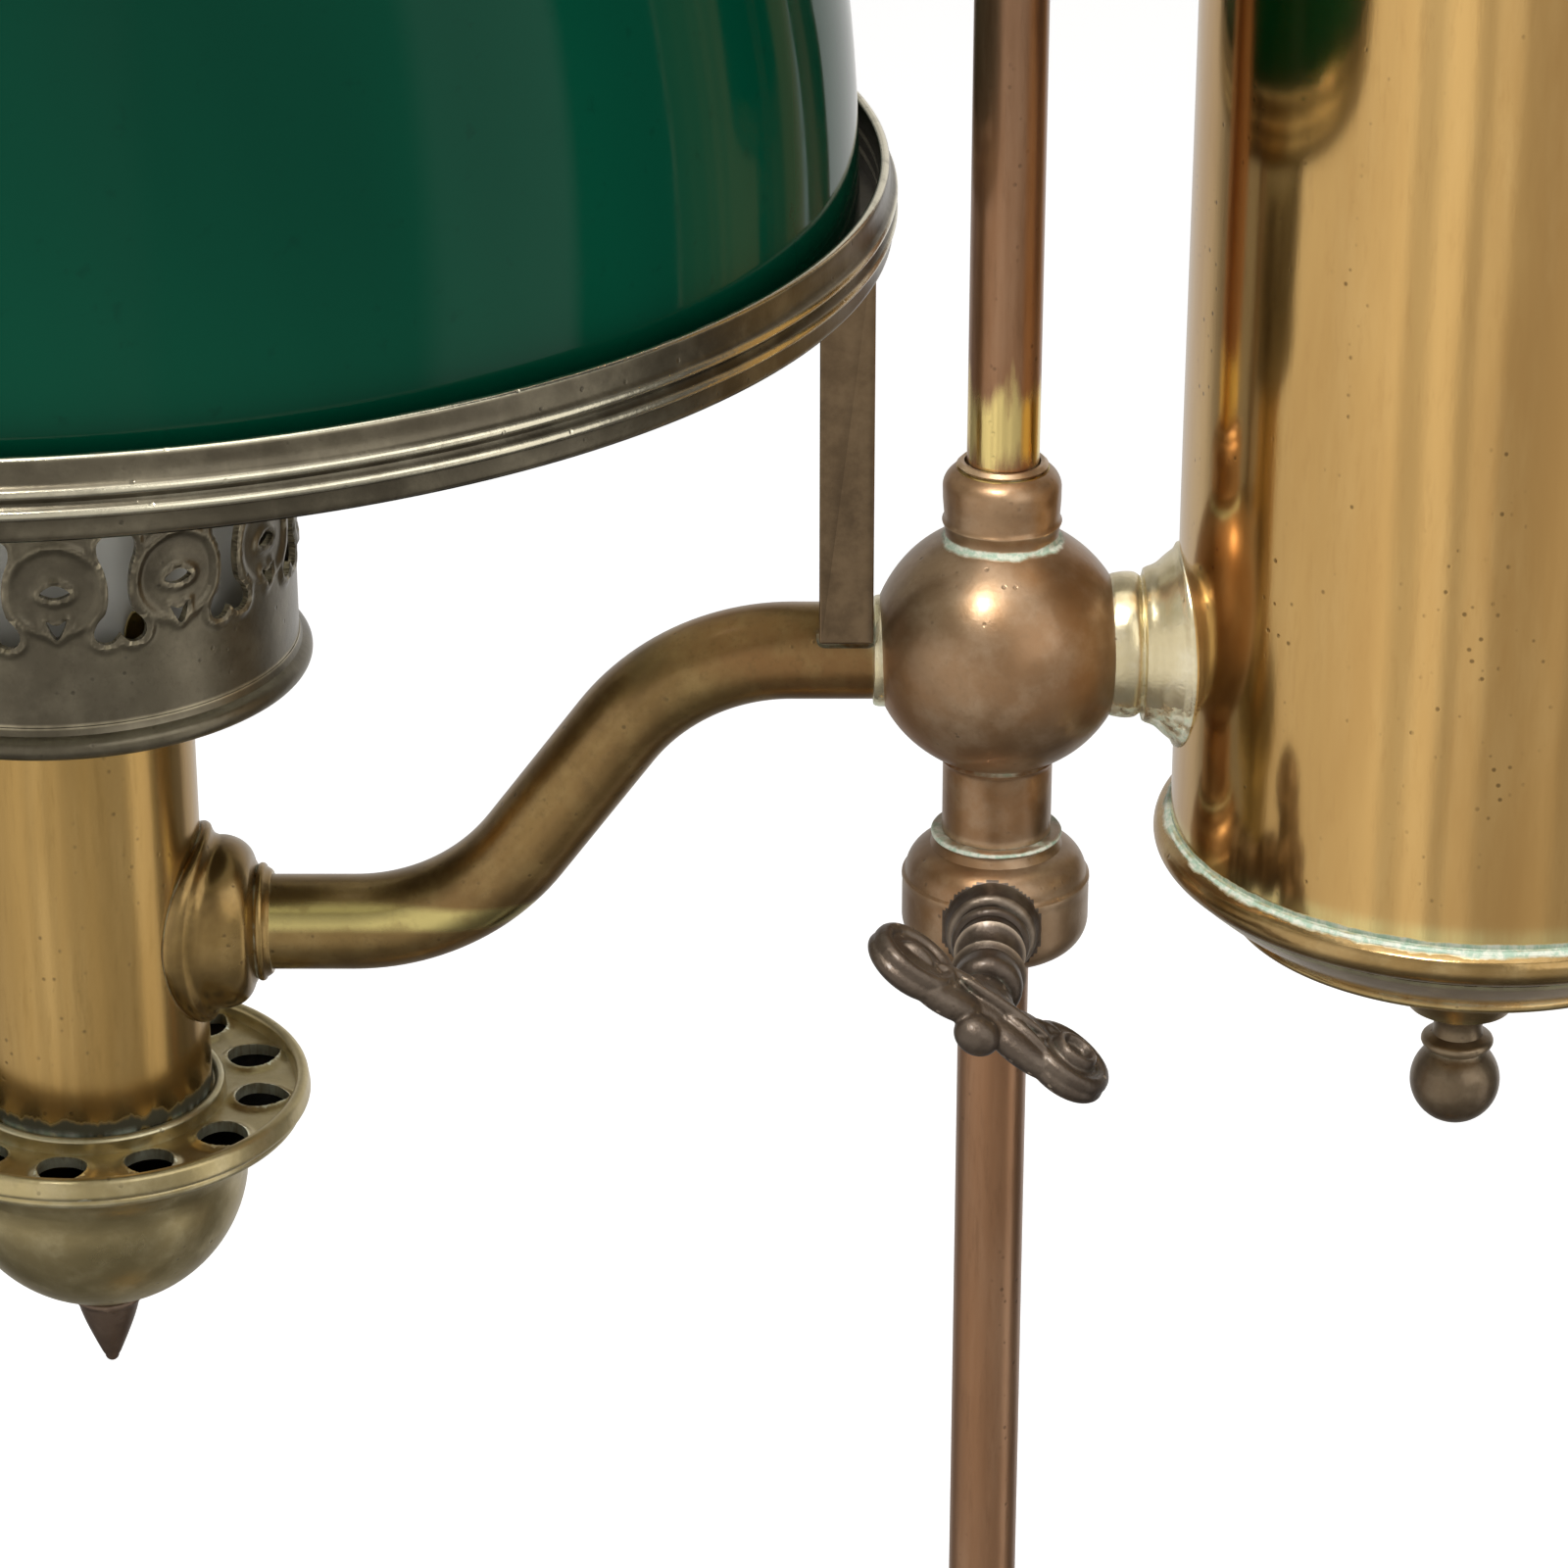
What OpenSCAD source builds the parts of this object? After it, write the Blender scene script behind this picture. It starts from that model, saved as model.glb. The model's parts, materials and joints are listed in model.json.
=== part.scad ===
/* [Stand] */
// Height of the middle of the hub ball above the floor
hub_z = 1080; // [800:5:1100]
// Diameter of the upright rod
rod_d = 11.4; // [11.3:0.05:11.5]
// Height of the rod's upper end above the floor
rod_top = 1376; // [1360:2:1500]
// Outside radius of the weighted base at its foot ring
base_r = 141; // [138:1:160]

/* [Hub] */
// Radius of the hub ball
ball_r = 20.7; // [20.2:0.1:21.2]
// Turn of the thumbscrew away from straight ahead, seen from above
key_yaw = -4.2; // [-12:0.2:4]
// Slope of the thumbscrew's wings
key_tilt = 34.2; // [-80:0.2:80]
// Length of the thumbscrew's wings from tip to tip
key_span = 44; // [42:0.5:50]

/* [Arm] */
// Outside radius of the burner arm's tube
arm_r = 7.75; // [7.4:0.05:8]
// Bend radius of the arm on the tube's centre line
bend_r = 35; // [30:1:38]
// Rise of the arm's slope for every 3 mm of its run
slope_rise = 4; // [3:0.25:5]
// Drop of the arm from the hub to the burner
arm_drop = 48; // [46:0.5:50]

/* [Burner] */
// Distance from the rod to the burner's axis
burner_reach = 148; // [147:0.5:152]
// Outside radius of the burner tube
burner_r = 19.4; // [19.2:0.1:19.6]
// Outside radius of the pierced gallery
gallery_r = 36.8; // [36:0.1:38]
// Number of rosettes round the gallery
gallery_count = 12; // [8:1:12]
// Radius of the drip cup's rim
cup_r = 35.5; // [35:0.1:37]
// Number of air holes in the drip cup's cover
air_holes = 12; // [8:1:14]

/* [Shade] */
// Radius of the glass shade at its lower edge
shade_r = 125.4; // [124.5:0.1:125.6]
// Height of the shade's lower edge above the hub centre
shade_z = 71; // [71:0.5:76]
// Wall of the shade glass
shade_wall = 3; // [2.5:0.5:3.5]

/* [Tank] */
// Distance from the rod to the tank's axis
tank_reach = 76.5; // [76.3:0.1:76.8]
// Outside radius of the tank
tank_r = 48.4; // [48.3:0.05:48.6]
// Height of the tank's mouth above the hub centre
tank_top = 168; // [150:2:190]

/* [Hidden] */
$fn = 96;

rod_r = rod_d / 2;
run = 0.05;             // radial running clearance
gap = 0.3;              // clear space between bodies that pass each other
sheet = 1.2;            // thickness of spun brass
felt_t = 3;
felt_r = base_r - 5;
step_z = 66;            // top of the base shell
socket_top = 136;

sleeve_r = 6.6;
core_r = 7.3;
collar_r = 9.2;
collar_top = 31.5;
neck_r = 8.8;
neck_z = -32;           // lower end of the neck, where the clamp nut begins
nut_r = 15.2;
nut_low = -54;
key_z = -43.7;          // axis of the thumbscrew below the hub centre
screw_r = 3.25;
boss_r = 7.3;
boss_y = -17;
shoe_len = 3.2;
wing_y = -44;           // middle of the wings in front of the rod
wing_t = 4.4;

arm_z0 = -1;
arm_z1 = arm_z0 - arm_drop;
arm_wall = 1.1;
arm_x0 = -33;           // where the first bend starts
bend_a = atan2(slope_rise, 3);
slope_len = (arm_drop - 2 * bend_r * (1 - cos(bend_a))) / sin(bend_a);
arm_x1 = arm_x0 - bend_r * sin(bend_a);
arm_x2 = arm_x1 - slope_len * cos(bend_a);
arm_x3 = arm_x2 - bend_r * sin(bend_a);
flange_x0 = -burner_reach + 8;
flange_x1 = -117.4;
oil_r = 5;              // radius of the oil way through the hub, arm and flanges

tube_low = -78.8;
tube_high = 1;
draft_r = 12;
draft_low = -97;
band_low = 1.9;
band_high = 35;
band_wall = 0.8;
driver_r = burner_r - 0.8 - gap;
chimney_r = 30;
chimney_low = -1.9;
chimney_high = 262;
plate_z = -80.5;        // upper face of the drip cup's cover
hole_ring_r = 27.5;
hole_r = 4.1;
bowl_r = 24.6;
bowl_low = -115.6;

ring_r = shade_r + 3;   // inside radius of the shade ring's upright wall
ring_low = 69.5;
ledge_r = shade_r - 7.4;
strap_x = -24.45;
strap_w = 8.5;
strap_y = -7;
strap_t = 2.6;
strap_low = 3.5;

tank_wall = 1;
rim_z = -33;
font_r = tank_r - tank_wall - 0.8;
font_low = -14;
font_neck_r = 12;
font_neck_low = -44;

// Points of an arc round [x, y], in degrees from the +X side
function arc(x, y, r, a0, a1, n = 8) =
    [for (i = [0 : n]) let (a = a0 + (a1 - a0) * i / n) [x + r * cos(a), y + r * sin(a)]];
// The same points in the other order
function back(p) = [for (i = [len(p) - 1 : -1 : 0]) p[i]];
// Outline of a shell: outer points, then the same points moved inwards
function shell(p, dr, dz) = concat(p, back([for (q = p) [max(q[0] - dr, 0), q[1] + dz]]));

module at_hub() { translate([0, 0, hub_z]) children(); }
module at_burner() { translate([-burner_reach, 0, hub_z]) children(); }
module at_tank() { translate([tank_reach, 0, hub_z]) children(); }
module at_key() { translate([0, 0, hub_z]) rotate([0, 0, key_yaw]) translate([0, 0, key_z]) children(); }
// Turned piece about Z
module turned(points) { rotate_extrude() polygon(points); }
// Turned piece about X: the outline's height becomes X
module turned_x(points) { rotate([0, 90, 0]) rotate_extrude() polygon(points); }
// Turned piece about -Y: the outline's height becomes the distance in front
module turned_front(points) { rotate([90, 0, 0]) rotate_extrude() polygon(points); }
// Plain tube about Z
module tube(r_out, r_in, z0, z1) {
    turned([[r_in, z0], [r_out, z0], [r_out, z1], [r_in, z1]]);
}
// Straight bar along X
module bar_x(r, x0, x1) { translate([x0, 0, 0]) rotate([0, 90, 0]) cylinder(h = x1 - x0, r = r); }

// ---- stand ----

module base_felt() {
    color("darkolivegreen") cylinder(h = felt_t, r = felt_r);
}

module base_weight() {
    color("dimgray") difference() {
        turned([[rod_r + gap, felt_t], [base_r - 11, felt_t], [base_r - 11, 14], [base_r - 45, 15],
                [base_r - 45, 30], [rod_r + gap, 30]]);
        translate([0, 0, felt_t - 1]) cylinder(h = 10, r = 22);
    }
}

module base_nut() {
    color("silver") difference() {
        translate([0, 0, felt_t + 0.5]) cylinder(h = 6, r = 10, $fn = 6);
        translate([0, 0, felt_t - 1]) cylinder(h = 9, r = rod_r);
    }
}

module base_washer() {
    color("silver") tube(18, rod_r + gap, felt_t + 6.5, felt_t + 9);
}

module base_shell() {
    outline = concat(
        [[base_r - 2, 1], [base_r - 1, 2.5]],
        arc(base_r - 5, 7.5, 5, -40, 80, 6),
        [[base_r - 6.5, 14], [base_r - 8, 16.5]],
        arc(base_r - 8, 48.5, 32, -90, -160, 8),
        [[base_r - 40, 40.5], [base_r - 41, 44], [base_r - 44, 45.6]],
        arc(base_r - 108, -44, 110, 54.4, 89, 8),
        [[rod_r + 0.3, step_z]]
    );
    inner = concat(
        [[base_r - 3.5, 1], [base_r - 3.5, 8]],
        [[base_r - 8, 13.5], [base_r - 9.5, 15]],
        arc(base_r - 8, 48.5, 33.5, -90, -160, 8),
        [[base_r - 43, 41], [base_r - 45.5, 43.5]],
        arc(base_r - 108, -44, 108.5, 53.5, 89, 8),
        [[rod_r + 0.3, step_z - 1.5]]
    );
    color("peru") turned(concat(outline, back(inner)));
}

module base_socket() {
    color("peru") turned(concat(
        [[rod_r, step_z], [31, step_z], [32, step_z + 1.2], [31, step_z + 3], [28, step_z + 4]],
        arc(34, 93, 20, -125, -178, 7),
        [[15, 94]],
        arc(14.5, 97, 2.8, -70, 70, 6),
        [[13, 101], [12, 106], [10.5, 127]],
        arc(10.5, 130.5, 2.4, -70, 70, 6),
        [[8.5, 134.5], [7.2, socket_top], [rod_r, socket_top]]
    ));
}

module rod() {
    color("saddlebrown") translate([0, 0, felt_t + 1]) cylinder(h = rod_top - felt_t - 1, r = rod_r);
}

module rod_finial() {
    color("saddlebrown") translate([0, 0, rod_top]) turned(concat(
        [[0, 0], [8.2, 0], [9, 1.2], [8.2, 3], [5.2, 4.2]],
        arc(9.3, 8, 4.4, -130, -215, 6),
        [[6.6, 11.2], [7.2, 12.2], [6.6, 13.2]],
        arc(0, 24, 12.2, -58, 75, 12),
        [[2.6, 36.6], [1.2, 39.5], [0, 40]]
    ));
}

// ---- hub and clamp ----

module rod_sleeve() {
    color("goldenrod") at_hub() tube(sleeve_r, rod_r + run, neck_z + gap, collar_top - 1.5);
}

module hub_core() {
    color("goldenrod") at_hub() tube(core_r, sleeve_r + run, neck_z, collar_top - 1.2);
}

module hub_ball() {
    color("saddlebrown") at_hub() difference() {
        sphere(r = ball_r);
        sphere(r = ball_r - 1.8);
        cylinder(h = 3 * ball_r, r = core_r, center = true);
        translate([0, 0, arm_z0]) bar_x(arm_r, -2 * ball_r, -ball_r / 2);
        bar_x(oil_r, ball_r / 2, 2 * ball_r);
    }
}

module hub_collar() {
    color("saddlebrown") at_hub() difference() {
        turned(concat(
            [[core_r, 15], [collar_r, 15], [collar_r, 19.6], [collar_r + 0.25, 20.4], [collar_r, 21.2]],
            [[collar_r + 0.1, 24.5]],
            arc(collar_r - 3.4, 26.9, 3.5, 0, 75, 6),
            [[rod_r + 0.25, collar_top], [rod_r + 0.25, collar_top - 1.2], [core_r, collar_top - 1.2]]
        ));
        sphere(r = ball_r);
    }
}

module hub_neck() {
    color("saddlebrown") at_hub() difference() {
        tube(neck_r, core_r, neck_z, -16);
        sphere(r = ball_r);
    }
}

module clamp_nut() {
    color("saddlebrown") difference() {
        union() {
            at_hub() turned(concat(
                [[rod_r + 0.25, neck_z], [9.9, neck_z], [10.3, neck_z - 0.7], [9.9, neck_z - 1.4]],
                arc(nut_r - 5, -38.6, 5, 80, 0, 7),
                arc(nut_r - 5.5, -47, 5.5, 0, -72, 6),
                [[8.6, nut_low + 0.6], [8, nut_low], [rod_r + 0.25, nut_low]]
            ));
            at_key() turned_front([
                [0, 11], [boss_r + 0.6, 11], [boss_r + 0.6, 14.6], [boss_r, 15.4],
                [boss_r, -boss_y - 0.5], [boss_r - 0.6, -boss_y], [0, -boss_y]
            ]);
        }
        at_key() turned_front([[0, 0], [screw_r + run, 0], [screw_r + run, 20], [0, 20]]);
        at_hub() translate([0, 0, nut_low - 1]) cylinder(h = 30, r = rod_r + 0.25);
    }
}

module clamp_shoe() {
    color("goldenrod") at_key() turned_front([[0, rod_r + run], [screw_r - 0.4, rod_r + run],
        [screw_r, rod_r + run + 0.4], [screw_r, rod_r + shoe_len], [0, rod_r + shoe_len]]);
}

module key_screw() {
    y0 = rod_r + shoe_len + gap;
    color("saddlebrown") at_key() turned_front(concat(
        [[0, y0], [screw_r, y0], [screw_r, -boss_y + gap], [4.6, -boss_y + gap]],
        arc(4.4, 19, 1.4, -70, 70, 5),
        arc(8.1, 25.6, 4.4, -115, -245, 8),
        [[5.4, 31.2], [5.6, 33.5], [4.6, 36.2], [0, 36.2]]
    ));
}

// Half of the wing outline, to the right: lobes that overlap along the wing
module wing_half() {
    reach = key_span / 2;
    translate([reach - 6.2, 0.4]) circle(r = 6.2);
    translate([reach - 11, -1.2]) circle(r = 6.4);
    translate([5, -2.4]) circle(r = 5.4);
}

module key_wing() {
    color("saddlebrown") at_key() rotate([0, key_tilt, 0]) difference() {
        translate([0, wing_y, -wing_t / 2]) linear_extrude(wing_t) {
            wing_half();
            mirror([1, 0]) wing_half();
            translate([-5.2, 0]) square([10.4, -wing_y - 36.5]);
        }
        rotate([90, 0, 0]) cylinder(h = 36.2, r = 7);
    }
}

// ---- burner arm ----

module arm_ferrule() {
    color("khaki") at_hub() translate([0, 0, arm_z0]) difference() {
        turned_x([
            [arm_r, -20.1], [arm_r + 0.9, -20.1], [arm_r + 1.1, -19.5], [arm_r + 1.1, -17.5], [arm_r, -17.5]
        ]);
        translate([0, 0, -arm_z0]) sphere(r = ball_r + 2 * run);
    }
}

// Straight length of the arm's tube along X; the slope is a hair stouter, so that it laps over the bends
module arm_straight(x0, x1, lap = 0) {
    translate([x0, 0, 0]) rotate([0, 90, 0])
        tube(arm_r + lap / 25, arm_r - arm_wall - lap / 25, -lap, x1 - x0 + lap);
}

// One bend of the arm's tube, turned about Z from the +X side
module arm_bend() {
    rotate_extrude(angle = bend_a) translate([bend_r, 0]) difference() {
        circle(r = arm_r);
        circle(r = arm_r - arm_wall);
    }
}

module strap_bar(grow) {
    translate([strap_x - strap_w / 2 - grow, strap_y - strap_t / 2, strap_low - 2 * grow])
        cube([strap_w + 2 * grow, strap_t, ring_low - strap_low + 2 * grow]);
}

module arm_tube() {
    color("peru") at_hub() difference() {
        union() {
            translate([0, 0, arm_z0]) arm_straight(arm_x0, -14);
            translate([arm_x0, 0, arm_z0 - bend_r]) rotate([90, 0, 0]) rotate([0, 0, 90]) arm_bend();
            translate([arm_x1, 0, arm_z0 - bend_r * (1 - cos(bend_a))]) rotate([0, -bend_a, 0])
                arm_straight(-slope_len, 0, 0.5);
            translate([arm_x3, 0, arm_z1 + bend_r]) rotate([90, 0, 0]) rotate([0, 0, -90]) arm_bend();
            translate([0, 0, arm_z1]) arm_straight(flange_x1 - 4, arm_x3);
        }
        strap_bar(0.4);
    }
}

module burner_flange() {
    color("goldenrod") difference() {
        at_hub() translate([0, 0, arm_z1]) turned_x(concat(
            [[0, flange_x0], [16, flange_x0], [16, -128.4]],
            arc(14.6, -128, 1.6, -20, 90, 5),
            [[13.3, -126.2], [12.9, -125.4]],
            arc(9.3, -125, 4.4, 10, 80, 6),
            [[9.2, -119.6], [9, -119], [9.2, -118.2], [8.8, flange_x1], [0, flange_x1]]
        ));
        at_burner() translate([0, 0, tube_low]) cylinder(h = tube_high - tube_low, r = burner_r);
        at_hub() translate([0, 0, arm_z1]) bar_x(arm_r, flange_x1 - 4, flange_x1 + 5);
        at_hub() translate([0, 0, arm_z1]) bar_x(oil_r, flange_x0, flange_x1);
    }
}

// ---- burner ----

module burner_tube() {
    color("gold") difference() {
        at_burner() tube(burner_r, burner_r - 0.8, tube_low, tube_high);
        at_hub() translate([0, 0, arm_z1]) bar_x(oil_r, flange_x0, flange_x1);
    }
}

module burner_floor() {
    color("goldenrod") at_burner() tube(burner_r - 0.8, draft_r, tube_low, tube_low + 1.5);
}

module draft_tube() {
    color("goldenrod") at_burner() tube(draft_r, draft_r - 0.7, draft_low, 4);
}

module flame_spreader() {
    wall_r = draft_r - 0.7;
    color("goldenrod") at_burner() difference() {
        turned([[wall_r - 1, -6], [wall_r, -6], [wall_r, 9], [12.6, 9], [12.6, 10.2], [0, 10.2], [0, 9],
                [wall_r - 1, 9]]);
        for (a = [0 : 45 : 315]) rotate([0, 0, a]) translate([wall_r - 4, 0, 6.4]) rotate([0, 90, 0])
            cylinder(h = 8, r = 1.4);
    }
}

module gallery_dish() {
    color("saddlebrown") at_burner() turned(concat(
        [[burner_r + gap, -4.2], [21, -4.2], [22, -3.4], [36.4, -3.2]],
        arc(gallery_r + 0.2, -0.6, 1.7, -80, 80, 8),
        [[gallery_r + 0.1, band_low], [gallery_r - band_wall, band_low], [gallery_r - band_wall, -2.2],
         [burner_r + gap + 1, -2.2], [burner_r + gap + 1, 2.3], [driver_r - 0.7, 2.3],
         [driver_r - 0.7, 1.3], [burner_r + gap, 1.3]]
    ));
}

// Outline of one vase-shaped opening: two round feet, a waist and a round mouth
module vase_outline() {
    for (side = [-1, 1]) translate([side * 2, 17]) circle(r = 2.1);
    translate([-1.6, 16.6]) square([3.2, 12]);
    translate([0, 28.8]) circle(r = 3);
}

// One opening, and one rosette's eye and dart, cut outwards along +X
module gallery_motif() {
    rotate([90, 0, 90]) translate([0, 0, gallery_r - 4]) linear_extrude(8) vase_outline();
    rotate([0, 0, 180 / gallery_count]) translate([gallery_r - 4, 0, 0]) rotate([0, 90, 0]) {
        translate([-23.6, 0, 0]) cylinder(h = 8, r = 1.5);
        translate([-17.4, 0, 0]) cylinder(h = 8, r = 0.9);
    }
}

module gallery_band() {
    color("saddlebrown") at_burner() difference() {
        turned(concat(
            [[gallery_r - band_wall, band_low], [gallery_r, band_low], [gallery_r, band_high - 1.6]],
            arc(gallery_r - 0.2, band_high - 0.8, 0.9, -50, 120, 6),
            [[gallery_r - band_wall, band_high - 1.6]]
        ));
        for (i = [0 : gallery_count - 1]) rotate([0, 0, (i + 0.5) * 360 / gallery_count]) gallery_motif();
    }
}

module chimney_clips() {
    color("goldenrod") at_burner() for (a = [0 : 60 : 300]) rotate([0, 0, a])
        translate([chimney_r + 0.4, -3, -2.2]) cube([0.6, 6, 20]);
}

module wick_driver() {
    turns = 14;
    color("goldenrod") at_burner() difference() {
        tube(driver_r, driver_r - 0.7, -60, 1.3);
        for (i = [0 : turns - 1]) rotate([0, 0, i * 45]) translate([0, 0, -55 + i * 3.6])
            rotate([0, 90, 0]) cylinder(h = 30, r = 1.2);
    }
}

module wick_carrier() {
    color("goldenrod") at_burner() tube(driver_r - 1, 15.2, -58, -50);
}

module wick() {
    color("ivory") at_burner() tube(15.2, 13.1, -56, 7);
}

// ---- drip cup ----

module air_plate() {
    low = plate_z - sheet;
    color("saddlebrown") at_burner() difference() {
        turned(concat(
            [[draft_r + run, tube_low - gap], [draft_r + run, low], [cup_r - 1, low]],
            arc(cup_r - 1, plate_z - 0.2, 1, -90, 20, 4),
            arc(cup_r - 1.3, -78.8, 1, 20, 170, 6),
            [[cup_r - 2.6, plate_z], [burner_r + 2.2, plate_z]],
            arc(burner_r + 1.2, -78.6, 0.8, 0, 160, 5),
            [[burner_r + gap, tube_low - gap]]
        ));
        for (i = [0 : air_holes - 1]) rotate([0, 0, (i + 0.85) * 360 / air_holes])
            translate([hole_ring_r, 0, plate_z - 5]) cylinder(h = 10, r = hole_r);
    }
}

module drip_bowl() {
    top = plate_z - sheet;
    color("saddlebrown") at_burner() turned(shell(concat(
        [[cup_r - 1.2, top], [cup_r - 1.2, top - 0.8], [cup_r - 2.6, top - 2]],
        [[29.5, -85.4], [26.2, -88.4]],
        arc(0, -92.7, bowl_r, -3, -62, 10),
        [[8, bowl_low], [0, bowl_low]]
    ), 1.1, 0));
}

module drip_tip() {
    color("saddlebrown") at_burner() turned([
        [0, bowl_low], [6.4, bowl_low], [6.4, bowl_low - 1], [5.4, bowl_low - 2],
        [5.9, bowl_low - 2.6], [5.5, bowl_low - 3.6], [0.5, -131.4], [0, -131.7]
    ]);
}

// ---- shade ----

module shade_ring() {
    color("dimgray") at_burner() turned(concat(
        [[ledge_r, ring_low], [ring_r + 1, ring_low], [ring_r + 1.6, ring_low + 0.5], [ring_r + 1.8, 72.6]],
        arc(ring_r + 1.7, 73.8, 0.9, -70, 70, 4),
        arc(ring_r + 1.9, 76.1, 0.9, -70, 70, 4),
        [[ring_r + 1.6, 79.6]],
        arc(ring_r + 0.7, 80.4, 0.8, 0, 180, 6),
        [[ring_r, 78], [ring_r, ring_low + 1.4], [ledge_r, ring_low + 1.4]]
    ));
}

module shade_strap() {
    color("saddlebrown") at_hub() strap_bar(0);
}

module shade_glass() {
    lining_r = shade_r - shade_wall;
    outer = [[shade_r, 0], [shade_r - 0.6, 21], [shade_r - 2.4, 40], [shade_r - 6.4, 62],
             [shade_r - 14.4, 86], [shade_r - 27.4, 109], [shade_r - 45.4, 129], [60, 145],
             [46, 152.5], [39.5, 157.5], [37.5, 163], [37, 172]];
    inner = [[lining_r, 0], [lining_r - 0.6, 21], [lining_r - 2.5, 40], [lining_r - 6.8, 61],
             [lining_r - 15, 84], [lining_r - 28, 106], [lining_r - 45.4, 125.4], [58.6, 142],
             [44.2, 149.7], [37, 155.6], [34.6, 162.4], [34, 172]];
    color("darkgreen") at_burner() translate([0, 0, shade_z]) turned(concat(outer, back(inner)));
}

module chimney_glass() {
    wall = 1.5;
    outer = [[chimney_r, chimney_low], [chimney_r, 58], [21, 78], [21, chimney_high]];
    inner = [for (p = outer) [p[0] - wall, p[1]]];
    color("lightcyan") at_burner() turned(concat(outer, back(inner)));
}

// ---- tank and font ----

module tank_flange() {
    color("darkkhaki") difference() {
        at_hub() turned_x(concat(
            [[0, 14], [11.4, 14], [11.4, 17.6]],
            arc(11.2, 19.2, 1.7, -60, 60, 5),
            [[11.4, 21.2]],
            arc(12.2, 23.4, 2.2, -60, 50, 5),
            [[14.2, 25.2], [16.2, 26], [16.5, 27.2], [16.3, 31], [0, 31]]
        ));
        at_hub() sphere(r = ball_r);
        at_tank() translate([0, 0, -40]) cylinder(h = 80, r = tank_r);
        at_hub() bar_x(oil_r, 10, 40);
    }
}

module tank_shell() {
    color("goldenrod") difference() {
        at_tank() tube(tank_r, tank_r - tank_wall, rim_z + 3, tank_top);
        at_hub() bar_x(oil_r, 10, 40);
    }
}

module tank_rim() {
    color("darkkhaki") at_tank() turned(concat(
        [[tank_r - tank_wall, rim_z + 3], [tank_r + 0.9, rim_z + 3]],
        arc(tank_r - 0.2, rim_z, 3, 65, -65, 8),
        [[tank_r - tank_wall, rim_z - 3]]
    ));
}

module tank_pan() {
    color("peru") at_tank() difference() {
        turned(shell(concat(
            [[tank_r + 1, rim_z - 3]],
            arc(31, rim_z + 5.4, 19.8, -29, -84, 6),
            [[31.4, -47.4], [30.4, -48.2], [28.6, -49.2]],
            arc(36, -77.4, 29, 106, 148, 6),
            [[8.4, -63.6], [6, -64.5], [0, -64.5]]
        ), 0.9, sheet));
        translate([0, 0, rim_z - 3]) cylinder(h = 10, r = tank_r + 5);
    }
}

// Ball finial that hangs or stands from a flat end: neck, collar and ball
module finial() {
    turned(concat(
        [[0, 0], [5.4, 0], [4.4, 1.4], [4, 4.2], [5.6, 5.4], [5.7, 6.6], [4.6, 7.9]],
        arc(0, 13.3, 7.4, -48, 90, 12)
    ));
}

module tank_finial() {
    color("saddlebrown") at_tank() translate([0, 0, -64.5]) rotate([180, 0, 0]) finial();
}

module font_shell() {
    top = tank_top + 0.1;
    color("silver") at_tank() turned([[font_neck_r - 1, font_low - 9], [font_neck_r, font_low - 9],
        [font_r, font_low], [font_r, top], [0, top], [0, top - 1], [font_r - 1, top - 1],
        [font_r - 1, font_low + 0.7], [font_neck_r - 1, font_low - 8]]);
}

module font_neck() {
    bore_r = font_neck_r - 1.4;
    color("silver") at_tank() turned([
        [3, font_neck_low], [font_neck_r, font_neck_low], [font_neck_r, font_low - 9],
        [bore_r, font_low - 9], [bore_r, font_neck_low + 1.2], [3, font_neck_low + 1.2]
    ]);
}

module font_lid() {
    z = tank_top + 0.1;
    dome = concat(arc(0, z - 57.6, 78, 52.5, 86, 8), [[5.4, z + 20.6], [0, z + 20.6]]);
    color("goldenrod") at_tank() turned(concat(
        [[tank_r - 4, z], [tank_r + 1.8, z]],
        arc(tank_r + 1.8, z + 2, 2, -90, 90, 6),
        [[tank_r - 1, z + 4.2], [tank_r - 2, z + 5.4]],
        dome,
        back([for (p = dome) [p[0] * 0.985, p[1] - sheet]])
    ));
}

module font_knob() {
    color("goldenrod") at_tank() translate([0, 0, tank_top + 20.7]) finial();
}

module valve_pin() {
    seat = font_neck_low + 1.3;
    color("silver") at_tank() turned([
        [0, font_neck_low - 11], [1.6, font_neck_low - 10], [1.6, seat], [6, seat],
        [6, seat + 1.6], [1.6, seat + 2.4], [1.6, seat + 11], [0, seat + 11]
    ]);
}

base_felt();
base_weight();
base_nut();
base_washer();
base_shell();
base_socket();
rod();
rod_finial();
rod_sleeve();
hub_core();
hub_ball();
hub_collar();
hub_neck();
clamp_nut();
clamp_shoe();
key_screw();
key_wing();
arm_ferrule();
arm_tube();
burner_flange();
burner_tube();
burner_floor();
draft_tube();
flame_spreader();
gallery_dish();
gallery_band();
chimney_clips();
wick_driver();
wick_carrier();
wick();
air_plate();
drip_bowl();
drip_tip();
shade_ring();
shade_strap();
shade_glass();
chimney_glass();
tank_flange();
tank_shell();
tank_rim();
tank_pan();
tank_finial();
font_shell();
font_neck();
font_lid();
font_knob();
valve_pin();
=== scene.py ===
"""Looks of the pharmacy floor lamp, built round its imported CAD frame."""
import json
import math
from functools import partialmethod

import bmesh
import bpy
import numpy as np
from mathutils import Matrix, Vector


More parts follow.
